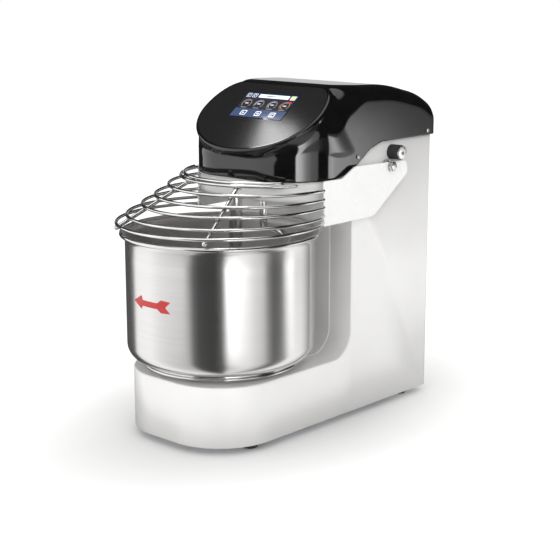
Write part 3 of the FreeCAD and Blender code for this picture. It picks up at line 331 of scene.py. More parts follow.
class Shade(Nodes):
    """A node material with the few building blocks that every finish here is made of."""

    def __init__(self, name, color, roughness, metallic=0.0, **sockets):
        MATERIALS[name] = material = bpy.data.materials.new(name)
        material.use_nodes = True
        super().__init__(material.node_tree)
        self.bsdf = self.tree.nodes["Principled BSDF"]
        self.coords = self.node("TexCoord").outputs["Object"]
        basics = {"Base Color": (*color, 1.0), "Roughness": roughness, "Metallic": metallic}
        for socket, value in {**basics, **sockets}.items():
            self.feed(self.bsdf, socket.replace("_", " "), value)

    def stretched(self, scale):
        """The coordinates multiplied along each axis."""
        return self.vector("MULTIPLY", self.coords, scale)[0]

    def noise(self, scale, detail=2.0, vector=None, roughness=0.5):
        return self.node("TexNoise", {"Vector": vector or self.coords, "Scale": scale, "Detail": detail,
                                      "Roughness": roughness}).outputs["Fac"]

    def cells(self, scale, vector=None, output="Distance"):
        return self.node("TexVoronoi", {"Vector": vector or self.coords, "Scale": scale}).outputs[output]

    def between(self, factor, low, high):
        """Spreads the middle of a pattern, 0.3 to 0.7, over low..high."""
        return self.node("MapRange", {"Value": factor, "From Min": 0.3, "From Max": 0.7, "To Min": low,
                                      "To Max": high}).outputs["Result"]

    def tint(self, factor, low, high):
        """Base colour that runs from `low` to `high` with the factor."""
        self.feed(self.bsdf, "Base Color", self.blend(self.between(factor, 0.0, 1.0), (*low, 1.0), (*high, 1.0)))

    def rough(self, factor, low, high):
        self.feed(self.bsdf, "Roughness", self.between(factor, low, high))

    def bump(self, height, strength, distance):
        bump = self.node("Bump", {"Strength": strength, "Distance": distance * MM, "Height": height})
        self.feed(self.bsdf, "Normal", bump.outputs["Normal"])

    def rings_about(self, x, y, fine, along):
        """Coordinates for brushing round a vertical axis: fast across the grain and slow along it."""
        split = self.node("SeparateXYZ", {0: self.vector("SUBTRACT", self.coords, (x, y, 0.0))[0]}).outputs
        across = self.calc("SQRT", self.calc("ADD", self.calc("POWER", split["X"], 2.0),
                                             self.calc("POWER", split["Y"], 2.0)))
        turn = self.calc("ARCTAN2", split["Y"], split["X"])
        return self.node("CombineXYZ", {
            "X": self.calc("MULTIPLY", across, fine), "Y": self.calc("MULTIPLY", turn, along),
            "Z": self.calc("MULTIPLY", split["Z"], fine),
        }).outputs["Vector"]


def grained(name, color, roughness, tint, gloss, bump=None, **sockets):
    """A finish of plain noise.

    `tint` and `gloss` are noise scale, detail, low and high; `bump` is scale, detail, strength and mm.
    """
    shade = Shade(name, color, roughness, **sockets)
    shade.tint(shade.noise(*tint[:2]), *tint[2:])
    shade.rough(shade.noise(*gloss[:2]), *gloss[2:])
    if bump:
        shade.bump(shade.noise(*bump[:2]), *bump[2:])


def plain_finishes():
    # powder coat: faint orange peel, slightly warm, a trace of uneven gloss
    grained("white_paint", (0.82, 0.815, 0.80), 0.34, (9, 3, (0.800, 0.795, 0.782), (0.838, 0.834, 0.822)),
            (34, 3, 0.30, 0.40), (1500, 2, 0.12, 0.05),
            Specular_IOR_Level=0.42, Coat_Weight=0.25, Coat_Roughness=0.16)
    # the guard plates' white paint, smoother, as a lighter copy of the body's: painted light that makes the
    # plates look brighter than the body
    grained("white_paint_lit", (0.86, 0.86, 0.855), 0.28, (11, 3, (0.845, 0.845, 0.84), (0.875, 0.875, 0.87)),
            (40, 3, 0.24, 0.32), (1700, 2, 0.10, 0.04), Specular_IOR_Level=0.45)
    # high-gloss moulding: very slight flow waviness and fine dust haze
    grained("gloss_black", (0.0045, 0.0043, 0.0043), 0.07,
            (30, 2, (0.0035, 0.0034, 0.0034), (0.0060, 0.0057, 0.0055)),
            (55, 4, 0.05, 0.095), (28, 1, 0.10, 0.05), Specular_IOR_Level=0.62)
    # satin fascia with a fine grain
    grained("panel_grey", (0.014, 0.014, 0.0145), 0.28,
            (700, 3, (0.012, 0.012, 0.0125), (0.017, 0.017, 0.0175)),
            (1200, 2, 0.26, 0.31), (2200, 2, 0.12, 0.03), Specular_IOR_Level=0.35)
    grained("screen_glass", (0.010, 0.012, 0.020), 0.06,
            (60, 2, (0.008, 0.010, 0.018), (0.014, 0.017, 0.026)),
            (90, 4, 0.045, 0.085), Specular_IOR_Level=0.5)
    # electropolished wire: small ripples and darker weld tint patches
    grained("chrome_wire", (0.74, 0.735, 0.73), 0.12, (38, 3, (0.64, 0.635, 0.63), (0.80, 0.795, 0.79)),
            (240, 3, 0.09, 0.18), (420, 2, 0.10, 0.04), metallic=1.0)
    grained("fastener_steel", (0.66, 0.65, 0.64), 0.20, (300, 3, (0.56, 0.55, 0.54), (0.76, 0.75, 0.74)),
            (900, 3, 0.15, 0.28), (1600, 2, 0.15, 0.03), metallic=1.0)
    # sand-cast aluminium
    grained("cast_alloy", (0.55, 0.56, 0.57), 0.50, (120, 4, (0.46, 0.465, 0.47), (0.62, 0.625, 0.63)),
            (500, 3, 0.42, 0.60), (900, 4, 0.45, 0.15), metallic=1.0)
    grained("black_rubber", (0.022, 0.022, 0.023), 0.62,
            (120, 4, (0.016, 0.016, 0.017), (0.034, 0.034, 0.035)),
            (700, 3, 0.52, 0.72), (1400, 3, 0.25, 0.06), Specular_IOR_Level=0.4)
    grained("display", (0.05, 0.05, 0.06), 0.5, (90, 3, (0.035, 0.035, 0.04), (0.07, 0.07, 0.08)),
            (500, 2, 0.42, 0.58), (1000, 2, 0.15, 0.05))
    # screen-printed film
    grained("arrow_red", (0.50, 0.026, 0.026), 0.32, (90, 3, (0.45, 0.022, 0.022), (0.54, 0.036, 0.032)),
            (500, 2, 0.28, 0.38), (1800, 2, 0.10, 0.02), Specular_IOR_Level=0.5)


def screen_inks():
    """The lit areas of the touch screen: colour and glow of each."""
    for name, (color, glow) in {
        "ink_navy": ((0.018, 0.030, 0.072), 0.4),
        "ink_blue": ((0.050, 0.078, 0.160), 0.5),
        "ink_dark": ((0.030, 0.026, 0.030), 0.4),
        "ink_white": ((0.80, 0.84, 0.92), 0.75),
        "ink_pale": ((0.46, 0.52, 0.64), 0.7),
        "ink_grey": ((0.20, 0.20, 0.22), 0.6),
        "ink_orange": ((0.60, 0.20, 0.06), 0.5),
        "ink_red": ((0.55, 0.05, 0.05), 0.6),
        "ink_yellow": ((0.72, 0.70, 0.12), 0.8),
    }.items():
        grained(name, color, 0.22, (260, 2, tuple(c * 0.88 for c in color), color),
                (200, 2, 0.16, 0.26), Emission_Color=(*color, 1.0), Emission_Strength=glow)


def steel_of_bowl():
    """Spun stainless steel, brushed round the axis, so that highlights spread up and down; satin inside."""
    m = Shade("bowl_steel", (0.70, 0.69, 0.68), 0.20, metallic=1.0, Anisotropic=0.6, Anisotropic_Rotation=0.25)
    grain = m.rings_about(AXIS[0], AXIS[1], 1.0, 0.0015)
    fine = m.noise(2400, 4, grain, 0.7)
    broad = m.noise(320, 3, grain)
    m.tint(m.calc("ADD", m.calc("MULTIPLY", fine, 0.5), m.calc("MULTIPLY", broad, 0.5)),
           (0.675, 0.665, 0.655), (0.725, 0.715, 0.705))
    geometry = m.node("NewGeometry").outputs
    outward = m.vector("SUBTRACT", geometry["Position"], (AXIS[0], AXIS[1], 0.0))[0]
    level = m.vector("MULTIPLY", outward, (1.0, 1.0, 0.0))[0]
    facing = m.vector("DOT_PRODUCT", level, geometry["Normal"])["Value"]
    satin_inside = m.calc("MULTIPLY", m.calc("LESS_THAN", facing, 0.0), 0.22)
    m.feed(m.bsdf, "Roughness", m.calc("ADD", m.between(fine, 0.18, 0.22), satin_inside))
    m.bump(fine, 0.05, 0.03)
    m.feed(m.bsdf, "Tangent", m.node("Tangent", direction_type="RADIAL", axis="Z").outputs["Tangent"])


def patterned_finishes():
    # ground and polished bar stock with faint lengthwise scratches
    m = Shade("polished_steel", (0.68, 0.67, 0.66), 0.16, metallic=1.0)
    m.tint(m.noise(45, 3), (0.62, 0.61, 0.60), (0.75, 0.74, 0.73))
    scratches = m.noise(1, 3, m.stretched((2400.0, 2400.0, 60.0)))
    m.rough(scratches, 0.12, 0.22)
    m.bump(scratches, 0.08, 0.02)

    # turned and milled steel with a light film of oil
    m = Shade("machined_steel", (0.50, 0.50, 0.51), 0.30, metallic=1.0)
    m.tint(m.noise(60, 4), (0.40, 0.39, 0.38), (0.58, 0.58, 0.59))
    turned_lines = m.noise(1, 2, m.stretched((120.0, 120.0, 3200.0)))
    m.rough(turned_lines, 0.22, 0.40)
    m.bump(turned_lines, 0.18, 0.03)

    # galvanised sheet with its spangle
    m = Shade("galvanised", (0.56, 0.57, 0.58), 0.38, metallic=1.0)
    spangle = m.cells(95, output="Color")
    m.tint(spangle, (0.44, 0.45, 0.47), (0.66, 0.67, 0.68))
    m.rough(spangle, 0.30, 0.48)
    m.bump(m.noise(600, 3), 0.10, 0.04)

    # moulded plastic with a spark-eroded grain
    m = Shade("black_plastic", (0.018, 0.018, 0.018), 0.42, Specular_IOR_Level=0.5)
    m.tint(m.noise(200, 3), (0.014, 0.014, 0.014), (0.024, 0.024, 0.024))
    m.rough(m.noise(900, 3), 0.36, 0.50)
    m.bump(m.cells(1500), 0.22, 0.05)

    # green solder mask over a pattern of tracks
    m = Shade("circuit_board", (0.02, 0.16, 0.07), 0.35)
    tracks = m.cells(260, m.stretched((1.0, 3.0, 1.0)))
    m.tint(tracks, (0.015, 0.12, 0.05), (0.05, 0.26, 0.12))
    m.rough(m.noise(400, 2), 0.28, 0.45)
    m.bump(tracks, 0.3, 0.05)


plain_finishes()
screen_inks()
steel_of_bowl()
patterned_finishes()

for node in frame["nodes"].values():
    for index, slot_material in enumerate(node.data.materials):
        node.data.materials[index] = MATERIALS[slot_material.name.split(".")[0]]


# ---- chassis ----
HALF_W, FRONT, REAR = SHELL.x1, SHELL.y0, SHELL.y1
DECK_Z, COLUMN_Y = DECK.z0, DECK.y1
SWEEP_Y, SWEEP_Z = COLUMN_Y - SWEEP_R, DECK_Z + SWEEP_R
WINDOW_X, WINDOW_LOW, WINDOW_HIGH = 95.0, 40.0, 378.0    # opening behind the rear panel
LIP_STEPS = 6
STRIP_THICK = 1.5
FOOT_R = 11.0


def fold_line():
    """Half of the folded edge, from the column's top right down and round to the nose's middle.

    Each entry is the edge point, the direction into the sheet's face, and that face's normal.
    """
    side_in, up = Vector((-1, 0, 0)), Vector((0, 0, 1))
    line = [(Vector((HALF_W, COLUMN_Y, z)), side_in, Vector((0, -1, 0))) for z in (SHELL.z1, PAN.z0 + SHEET)]
    for angle in np.linspace(0, pi / 2, 17):
        normal = Vector((0, -cos(angle), sin(angle)))
        line.append((Vector((HALF_W, SWEEP_Y, SWEEP_Z)) - normal * SWEEP_R, side_in, normal))
    corner = Vector((HALF_W - NOSE_R, FRONT + NOSE_R, DECK_Z))
    for angle in np.linspace(0, pi / 2, 33):
        out = Vector((cos(angle), -sin(angle), 0))
        line.append((corner + out * NOSE_R, -out, up))
    line.append((Vector((0, FRONT, DECK_Z)), Vector((0, 1, 0)), up))
    return line


def body_shell():
    """Side panels, nose, deck lip and the frame of the rear window, as one folded sheet."""
    rows = [[point + inward * (LIP_R * (1 - cos(a))) - normal * (LIP_R * (1 - sin(a)))
             for a in np.linspace(0, pi / 2, LIP_STEPS + 1)] for point, inward, normal in fold_line()]
    sweep_end = 2        # the rows before it run down the column
    low, high = SHELL.z0, SHELL.z1
    build = Build()
    for sign in (1, -1):
        side = [[(sign * p.x, p.y, p.z) for p in row] for row in rows]
        build.loft(side, closed=False)
        for here, there in zip(side[sweep_end:], side[sweep_end + 1:]):
            foot = [(p[0][0], p[0][1], low) for p in (here, there)]
            build.add([here[0], there[0], foot[1], foot[0]], [(0, 1, 2, 3)])
        column_top, column_low = side[0][0], side[sweep_end][0]
        build.add([(sign * HALF_W, column_low[1], low), (sign * HALF_W, REAR - REAR_R, low),
                   (sign * HALF_W, REAR - REAR_R, high), column_top, side[1][0], column_low],
                  [(0, 1, 2, 3, 4, 5)])
        corner = [(sign * (HALF_W - REAR_R * c), REAR - REAR_R + REAR_R * s) for s, c in quarter(8)]
        build.loft([[(x, y, z) for x, y in corner] for z in (low, high)], closed=False)
    for here, there in zip(rows[1:], rows[2:]):
        a, b = here[-1], there[-1]
        build.add([a, b, (-b.x, b.y, b.z), (-a.x, a.y, a.z)], [(0, 1, 2, 3)])
    edge_x = HALF_W - REAR_R
    for x0, x1, z0, z1 in ((-edge_x, edge_x, low, WINDOW_LOW), (-edge_x, edge_x, WINDOW_HIGH, high),
                           (-edge_x, -WINDOW_X, WINDOW_LOW, WINDOW_HIGH),
                           (WINDOW_X, edge_x, WINDOW_LOW, WINDOW_HIGH)):
        build.add([(x0, REAR, z0), (x1, REAR, z0), (x1, REAR, z1), (x0, REAR, z1)], [(0, 1, 2, 3)])
    thicken(build.piece("chassis_shell", "white_paint", "chassis", ["body_shell"]), SHEET)


def deck_strip():
    """Cover strip down the column, round the sweep and under the bowl."""
    def line(inset):
        sweep = arc(SWEEP_Y, SWEEP_Z, SWEEP_R - inset, 0, -pi / 2, 17)
        return [(COLUMN_Y - inset, DECK.z1)] + sweep + [(DECK.y0, DECK_Z + inset)]

    outline = line(0.0) + line(STRIP_THICK)[::-1]
    build = Build().loft([[(x, y, z) for y, z in outline] for x in (DECK.x0, DECK.x1)], caps=(True, True))
    soften(build.piece("column_strip", "white_paint", "chassis", ["deck_plate"]), 0.6)


def feet():
    x, front, rear = FEET.x1 - FOOT_R, FEET.y0 + FOOT_R, FEET.y1 - FOOT_R
    profile = [(NEAR_AXIS, 0.0), (9.6, 0.0), (10.5, 0.3), (FOOT_R, 1.2), (FOOT_R, 6.8), (10.6, 7.4),
               (9.5, FEET.z1), (NEAR_AXIS, FEET.z1)]
    build = Build()
    for centre in ((x, front), (-x, front), (x, rear), (-x, rear)):
        build.turned(profile, centre, steps=40)
    build.piece("feet", "black_rubber", "chassis", ["rubber_feet"], sharp=50)


# ---- bowl ----
BOWL_R = BOWL.x1 - 7.6
BOWL_WALL = 1.5
BOWL_CORNER_R = 22.0
FLOOR_MIDDLE = 30.0
RIM_TUBE_R = 3.2
RIM_TURN = (222, *range(192, -154, -15))     # degrees round the rolled rim, from the flare to its inner end
ARROW_R = BOWL_R + 0.12
# the arrow's outline: degrees from the front towards +X, and height
ARROW = [(-17.0, 199.4), (-8.5, 209.5), (-7.6, 203.5), (5.0, 203.5), (8.0, 208.4), (14.5, 207.0),
         (11.0, 199.0), (14.5, 191.5), (8.0, 191.0), (5.0, 195.5), (-7.6, 195.5), (-8.5, 190.7)]


def bowl():
    """Spun bowl as one closed section: floor, rounded corner, wall, small flare and rolled rim."""
    low, neck = BOWL.z0, BOWL.z1 - 12
    corner_r, corner_z = BOWL_R - BOWL_CORNER_R, low + BOWL_CORNER_R
    rim_r, rim_z = BOWL.x1 - RIM_TUBE_R, BOWL.z1 - RIM_TUBE_R
    inner_r, inner_corner = BOWL_R - BOWL_WALL, BOWL_CORNER_R - BOWL_WALL
    outside = [(NEAR_AXIS, low)] + [(r, low) for r in np.linspace(FLOOR_MIDDLE, corner_r, 4)]
    outside += arc(corner_r, corner_z, BOWL_CORNER_R, -pi / 2, 0, 15)[1:]
    outside += [(BOWL_R, z) for z in np.linspace(corner_z, neck, 9)[1:]]
    outside += [(BOWL_R + 0.25, neck + 2.2), (BOWL_R + 1.4, neck + 4.6)]
    outside += [(rim_r + RIM_TUBE_R * cos(a), rim_z + RIM_TUBE_R * sin(a)) for a in map(radians, RIM_TURN)]
    inside = [(inner_r + 1.0, neck + 4.0), (inner_r + 0.2, neck + 2.0)]
    inside += [(inner_r, z) for z in np.linspace(neck, corner_z, 9)]
    inside += arc(corner_r, corner_z, inner_corner, 0, -pi / 2, 15)[1:]
    inside += [(r, low + BOWL_WALL) for r in np.linspace(corner_r, FLOOR_MIDDLE, 4)[1:]]
    inside += [(NEAR_AXIS, low + BOWL_WALL)]
    build = Build().turned(outside + inside, steps=192)
    build.piece("steel_bowl", "bowl_steel", "turning_bowl", ["bowl"], sharp=60)


def turntable():
    """Disc under the bowl with a groove round its edge."""
    r, z0, z1 = DISC.x1, DISC.z0, DISC.z1
    profile = [(14, z0), (r - 1.2, z0), (r - 0.3, z0 + 0.3), (r, z0 + 0.9), (r, z0 + 2.3), (r - 0.3, z0 + 2.7),
               (r - 3.5, z0 + 2.9), (r - 3.5, z0 + 3.7), (r - 1.8, z0 + 3.9), (r - 1.4, z0 + 4.2),
               (r - 1.4, z1 - 1.0), (r - 1.8, z1 - 0.3), (r - 3, z1), (14, z1)]
    build = Build().turned(profile, steps=160)
    build.piece("bowl_disc", "bowl_steel", "turning_bowl", ["turntable"], sharp=40)


def arrow():
    """Turning-direction arrow, cut into narrow strips that follow the bowl's wall."""
    mesh = bmesh.new()
    face = mesh.faces.new([mesh.verts.new((angle, z, 0)) for angle, z in ARROW])
    bmesh.ops.triangulate(mesh, faces=[face])
    for angle in np.arange(-16.0, 14.5, 1.5):
        geometry = mesh.verts[:] + mesh.edges[:] + mesh.faces[:]
        bmesh.ops.bisect_plane(mesh, geom=geometry, plane_co=(angle, 0, 0), plane_no=(1, 0, 0))
    mesh.verts.ensure_lookup_table()
    turned = [(radians(vert.co.x), vert.co.y) for vert in mesh.verts]
    build = Build().add([(ARROW_R * sin(turn), -ARROW_R * cos(turn), z) for turn, z in turned],
                        [[v.index for v in f.verts] for f in mesh.faces])
    mesh.free()
    build.piece("turning_arrow", "arrow_red", "turning_bowl", slot="bowl_steel")


# ---- tools in the bowl ----
BAR_R, BAR_TIP_R, BAR_FLANGE = 9.5, 4.0, 8.0
SPIRAL_ROD_R, SPIRAL_R, SPIRAL_TURNS = 5.5, 38.0, 2.15
STEM_LOW, COIL_TOP, COIL_LOW = 296.0, 286.0, 118.5
COIL_START = radians(150)


def breaker():
    centre = ((BAR.x0 + BAR.x1) / 2, (BAR.y0 + BAR.y1) / 2)
    tip = arc(BAR_R - BAR_TIP_R, BAR.z0 + BAR_TIP_R, BAR_TIP_R, -pi / 2, 0, 7)
    flange_z, flange_r = BAR.z1 - BAR_FLANGE, BAR.x1 - centre[0]
    profile = [(NEAR_AXIS, BAR.z0)] + tip + [(BAR_R, flange_z), (flange_r, flange_z), (flange_r, BAR.z1),
                                             (NEAR_AXIS, BAR.z1)]
    build = Build().turned(profile, centre, steps=64)
    build.piece("breaker", "polished_steel", "chassis", ["breaker_bar"], sharp=40)


def spiral():
    """Round rod: straight stem, coil that opens out, and a tip drawn in at the bowl's floor."""
    shaft, hook = box_mm("spiral_shaft"), box_mm("spiral_hook")
    x, y = (shaft.x0 + shaft.x1) / 2, (shaft.y0 + shaft.y1) / 2
    points = [(x, y, z) for z in np.linspace(hook.z1, STEM_LOW, 12)]
    steps = 190
    for share in (k / steps for k in range(5, steps + 1)):
        angle = COIL_START - 2 * pi * SPIRAL_TURNS * share
        opening = sin(min(1.0, share / 0.20) * pi / 2) ** 1.3
        closing = max(0.0, (share - 0.90) / 0.10)
        radius = SPIRAL_R * opening * (1 - 0.55 * closing * closing)
        points.append((x + radius * cos(angle), y + radius * sin(angle),
                       COIL_TOP - (COIL_TOP - COIL_LOW) * share ** 1.12))
    build = Build().rod(points, SPIRAL_ROD_R, sides=28)
    build.piece("spiral_rod", "polished_steel", "spiral", ["spiral_hook"], sharp=60)


# ---- head ----
def pan():
    """White pan over the bowl, folded from the column with a rounded lower edge."""
    def ring(inset, z):
        x, front, rear, corner = PAN.x1 - inset, PAN.y0 + inset, PAN.y1, PAN_CORNER_R - inset
        plan = rounded([(-x, rear, 0), (-x, front, corner), (x, front, corner), (x, rear, 0)], steps=24)
        return [(*p, z) for p in plan]

    fillet = [ring(PAN_FILLET_R * c, PAN.z0 + PAN_FILLET_R * (1 - s)) for s, c in quarter(6)]
    build = Build().loft([ring(0.0, PAN.z1)] + fillet, caps=(False, True))
    thicken(build.piece("pan", "white_paint", "chassis", ["head_pan"]), SHEET)


def panel_point(u, v, depth):
    """Point on the sloping panel: u across, v up the slope, depth down into the head."""
    return (u, SCREEN_Y + v * cos(PANEL_TILT) + depth * sin(PANEL_TILT),
            SCREEN_Z + v * sin(PANEL_TILT) - depth * cos(PANEL_TILT))


def panel_outline(inset, steps=40):
    """Panel outline: straight top, elliptic shoulders and a wide elliptic chin."""
    half, up, down = PANEL_HALF_W - inset, PANEL_UP - inset, PANEL_DOWN - inset
    right = arc(PANEL_FLAT, PANEL_WIDEST, half - PANEL_FLAT, pi / 2, 0, steps, up - PANEL_WIDEST)
    right += arc(0, PANEL_WIDEST, half, 0, -pi / 2, 2 * steps, down + PANEL_WIDEST)[1:]
    return right + [(-u, v) for u, v in right[-2::-1]]


def smooth(share):
    """Eases a 0 to 1 share in and out."""
    return share * share * (3 - 2 * share)


def height_line(corners, steps):
    """Separate y and z arrays of a rounded side-view line."""
    return np.array(rounded(corners, steps)).T


BEND_Y, BEND_Z, REAR_FALL = 306.0, 453.0, 19.0 / 34.0    # where the crown bends, and its slope behind
RUNOUT = 60.0            # the lines run on past the cover's ends


def top_line():
    """The cover's middle line: nose, slope, crown and rounded rear."""
    front, beyond = COVER.y0 - RUNOUT, COVER.y1 + RUNOUT

    def on_slope(y):
        return SCREEN_Z - 3.0 - (SCREEN_Y - y) * tan(PANEL_TILT)

    return height_line([
        (front, on_slope(front), 0), (133.5, on_slope(133.5) - 0.2, 30), (236, 469.6, 260),
        (BEND_Y, BEND_Z, 120), (beyond, BEND_Z - (beyond - BEND_Y) * REAR_FALL, 0),
    ], steps=24)


TOP_Y, TOP_Z = top_line()
NOSE_Y = 28.0
PLAN_REAR_R = 14.0
SIDE_LOW_Z = 392.6       # the cover's lower edge beside the column
RAY_MIDDLE = np.array([0.0, 176.0, 398.0])
RAY_FAR, HALVINGS = 320.0, 22
COVER_COLUMNS, COVER_ROWS, FINE_ROWS = 420, 150, 420
WALL_DIP = -0.12         # slope of the rays that meet the wall
STEEPEST = pi / 2 - 1e-4
OUTLINE_UV = np.array(panel_outline(0.0) + [(u, PANEL_UP) for u in np.linspace(-PANEL_FLAT, PANEL_FLAT, 57)])
OUTLINE_ANGLE = np.arctan2(OUTLINE_UV[:, 1] - PANEL_WIDEST, OUTLINE_UV[:, 0])
OUTLINE_R = np.hypot(OUTLINE_UV[:, 0], OUTLINE_UV[:, 1] - PANEL_WIDEST)
ORDER = np.argsort(OUTLINE_ANGLE)
CHIN_Z = SCREEN_Z - PANEL_DOWN * sin(PANEL_TILT) - 7.0
CHIN_R = 4.0
RIM_R = 3.6              # roll of the panel's rim
BROW_BLEND = 7.5         # sweep between the rim and the cover
BROW_EDGE = 0.5          # the same at the panel's own level
BROW_TOP, BROW_FADE = 3.0, 6.0       # depth under the panel where the sweep starts to widen, and over what


def round_and(a, b, radius):
    """Intersection of two distance fields with a rounded edge."""
    inner = np.minimum(np.maximum(a, b), -radius)
    ca, cb = np.maximum(a + radius, 0), np.maximum(b + radius, 0)
    rounded_edge = np.hypot(ca, cb) - radius
    return np.where((ca > 0) | (cb > 0), rounded_edge, inner)


def plan_field(x, y):
    """Distance to the cover's plan outline."""
    middle = (NOSE_Y + COVER.y1) / 2
    half_len = (COVER.y1 - NOSE_Y) / 2
    radius = np.where(y < middle, COVER_CORNER_R, PLAN_REAR_R)
    qx = np.abs(x) - COVER.x1 + radius
    qy = np.abs(y - middle) - half_len + radius
    return np.minimum(np.maximum(qx, qy), 0) + np.hypot(np.maximum(qx, 0), np.maximum(qy, 0)) - radius


def edge_radius(y):
    """The roll's radius over y: wide beside the panel's top, and even before and behind it."""
    (front, rise), (rear, fall) = SHOULDER_FRONT, SHOULDER_REAR
    share = np.clip(np.minimum((rear - y) / fall, (y - front) / rise), 0, 1)
    return COVER_EDGE_R + (SHOULDER_R - COVER_EDGE_R) * smooth(share)


def cover_field(x, y, z):
    """Distance-like field of the cover: body with rounded edges, blended with the panel's raised rim."""
    top = np.interp(y, TOP_Y, TOP_Z)
    slope = (np.interp(y + 1, TOP_Y, TOP_Z) - np.interp(y - 1, TOP_Y, TOP_Z)) / 2
    body = round_and((z - top) / np.hypot(1, slope), plan_field(x, y), edge_radius(y))
    dy, dz = y - SCREEN_Y, z - SCREEN_Z
    v = dy * cos(PANEL_TILT) + dz * sin(PANEL_TILT)
    height = -dy * sin(PANEL_TILT) + dz * cos(PANEL_TILT)
    angle = np.arctan2(v - PANEL_WIDEST, x)
    reach = np.interp(angle, OUTLINE_ANGLE[ORDER], OUTLINE_R[ORDER], period=2 * pi)
    edge = np.hypot(x, v - PANEL_WIDEST) - reach
    brow = round_and(edge, height, RIM_R)
    brow = round_and(brow, CHIN_Z - z, CHIN_R)
    deep = np.clip((-height - BROW_TOP) / BROW_FADE, 0, 1)
    blend = BROW_EDGE + (BROW_BLEND - BROW_EDGE) * smooth(deep)
    mix = np.clip(0.5 + 0.5 * (brow - body) / blend, 0, 1)
    return brow * (1 - mix) + body * mix - blend * mix * (1 - mix)


def lower_edge():
    """The cover's lower edge: level nose, S, and level along the column."""
    return height_line([(NOSE_Y - 40, COVER.z0, 0), (106, COVER.z0, 30), (129, 353.5, 20), (149, 361.8, 16),
                        (183, 384.5, 0), (208, SIDE_LOW_Z, 34), (COVER.y1 + 40, SIDE_LOW_Z, 0)], steps=12)


def cover_reach(direction):
    """Distance from RAY_MIDDLE to the cover's skin along unit directions, by halving."""
    low, high = np.zeros(direction.shape[:-1]), np.full(direction.shape[:-1], RAY_FAR)
    for _ in range(HALVINGS):
        mid = (low + high) / 2
        inside = cover_field(*np.moveaxis(RAY_MIDDLE + direction * mid[..., None], -1, 0)) < 0
        low, high = np.where(inside, mid, low), np.where(inside, high, mid)
    return (low + high) / 2


def cover():
    """The cover's skin, found along rays from a point inside it and spread evenly over each ray's profile."""
    turn = np.linspace(0, 2 * pi, COVER_COLUMNS, endpoint=False)
    out_x, out_y = np.sin(turn), -np.cos(turn)
    level = np.stack([out_x, out_y, np.full(COVER_COLUMNS, WALL_DIP)], -1)
    level /= np.linalg.norm(level, axis=-1, keepdims=True)
    wall = RAY_MIDDLE + level * cover_reach(level)[:, None]
    wall_run = np.hypot(wall[:, 0] - RAY_MIDDLE[0], wall[:, 1] - RAY_MIDDLE[1])
    low_z = np.interp(RAY_MIDDLE[1] + out_y * wall_run, *lower_edge())
    start = np.arctan2(low_z - RAY_MIDDLE[2], wall_run)
    share = np.linspace(0, 1, FINE_ROWS)
    lift = start[:, None] + (STEEPEST - start[:, None]) * share[None, :]
    flat = np.cos(lift)
    direction = np.stack([flat * out_x[:, None], flat * out_y[:, None], np.sin(lift)], -1)
    skin = RAY_MIDDLE + direction * cover_reach(direction)[..., None]
    step = np.linalg.norm(np.diff(skin, axis=1), axis=-1)
    run = np.concatenate([np.zeros((COVER_COLUMNS, 1)), np.cumsum(step, axis=1)], axis=1)
    columns = []
    for along, line in zip(run, skin):
        wanted = np.linspace(0, along[-1], COVER_ROWS)
        columns.append(np.stack([np.interp(wanted, along, line[:, k]) for k in range(3)], -1))
    build = Build().loft([[tuple(column[j]) for column in columns] for j in range(COVER_ROWS)])
    thicken(build.piece("cover", "gloss_black", "chassis", ["head_cover"], sharp=75), COVER_WALL)


FASCIA_INSET, FASCIA_TOP, FASCIA_BELOW = 4.4, -0.02, 2.4
GLASS_TOP, GLASS_BELOW, GLASS_CORNER_R = -0.06, 2.2, 1.5
INK_LIFT, INK_STEP = 0.01, 0.012     # the lowest ink above the glass, and each level above the one below


def slab(outline, top, below, name, material, node):
    """A plate on the sloping panel, from `top` to `below` its surface."""
    return Build().prism(outline, panel_point, top, below).piece(name, material, "chassis", [node])


def fascia():
    """Grey panel that lies in the rim, with a fine edge."""
    plate = slab(panel_outline(FASCIA_INSET), FASCIA_TOP, FASCIA_BELOW, "fascia", "panel_grey", "control_panel")
    soften(plate, 0.5)


def screen():
    outline = rectangle(-SCREEN_HALF_W, SCREEN_HALF_W, -SCREEN_HALF_H, SCREEN_HALF_H, GLASS_CORNER_R, 4)
    soften(slab(outline, GLASS_TOP, GLASS_BELOW, "touch_screen", "screen_glass", "touch_glass"), 0.25)


class Picture:
    """Flat shapes of the screen's picture, one piece for each ink, in levels above the glass."""

    def __init__(self):
        self.builds = {}

    def on_level(self, points, level):
        return [panel_point(u, v, GLASS_TOP - INK_LIFT - INK_STEP * level) for u, v in points]

    def shape(self, ink, outline, level):
        build = self.builds.setdefault(ink, Build())
        build.add(self.on_level(outline, level), [list(range(len(outline)))])

    def area(self, ink, u0, u1, v0, v1, level, radius=0.0):
        self.shape(ink, rectangle(u0, u1, v0, v1, radius, 5), level)

    def box(self, ink, u, v, half_w, half_h, level, radius):
        self.area(ink, u - half_w, u + half_w, v - half_h, v + half_h, level, radius)

    def ring(self, ink, u, v, radius, width, level, share=1.0, turn=0.0):
        """Part of a ring, as a strip of small quads."""
        self.builds.setdefault(ink, Build()).loft([
            self.on_level(arc(u, v, r, turn, turn + 2 * pi * share, 29), level)
            for r in (radius, radius - width)], closed=False)

    def finish(self):
        for ink, build in self.builds.items():
            build.piece("screen_" + ink.split("_")[1], ink, "chassis", slot="screen_glass")


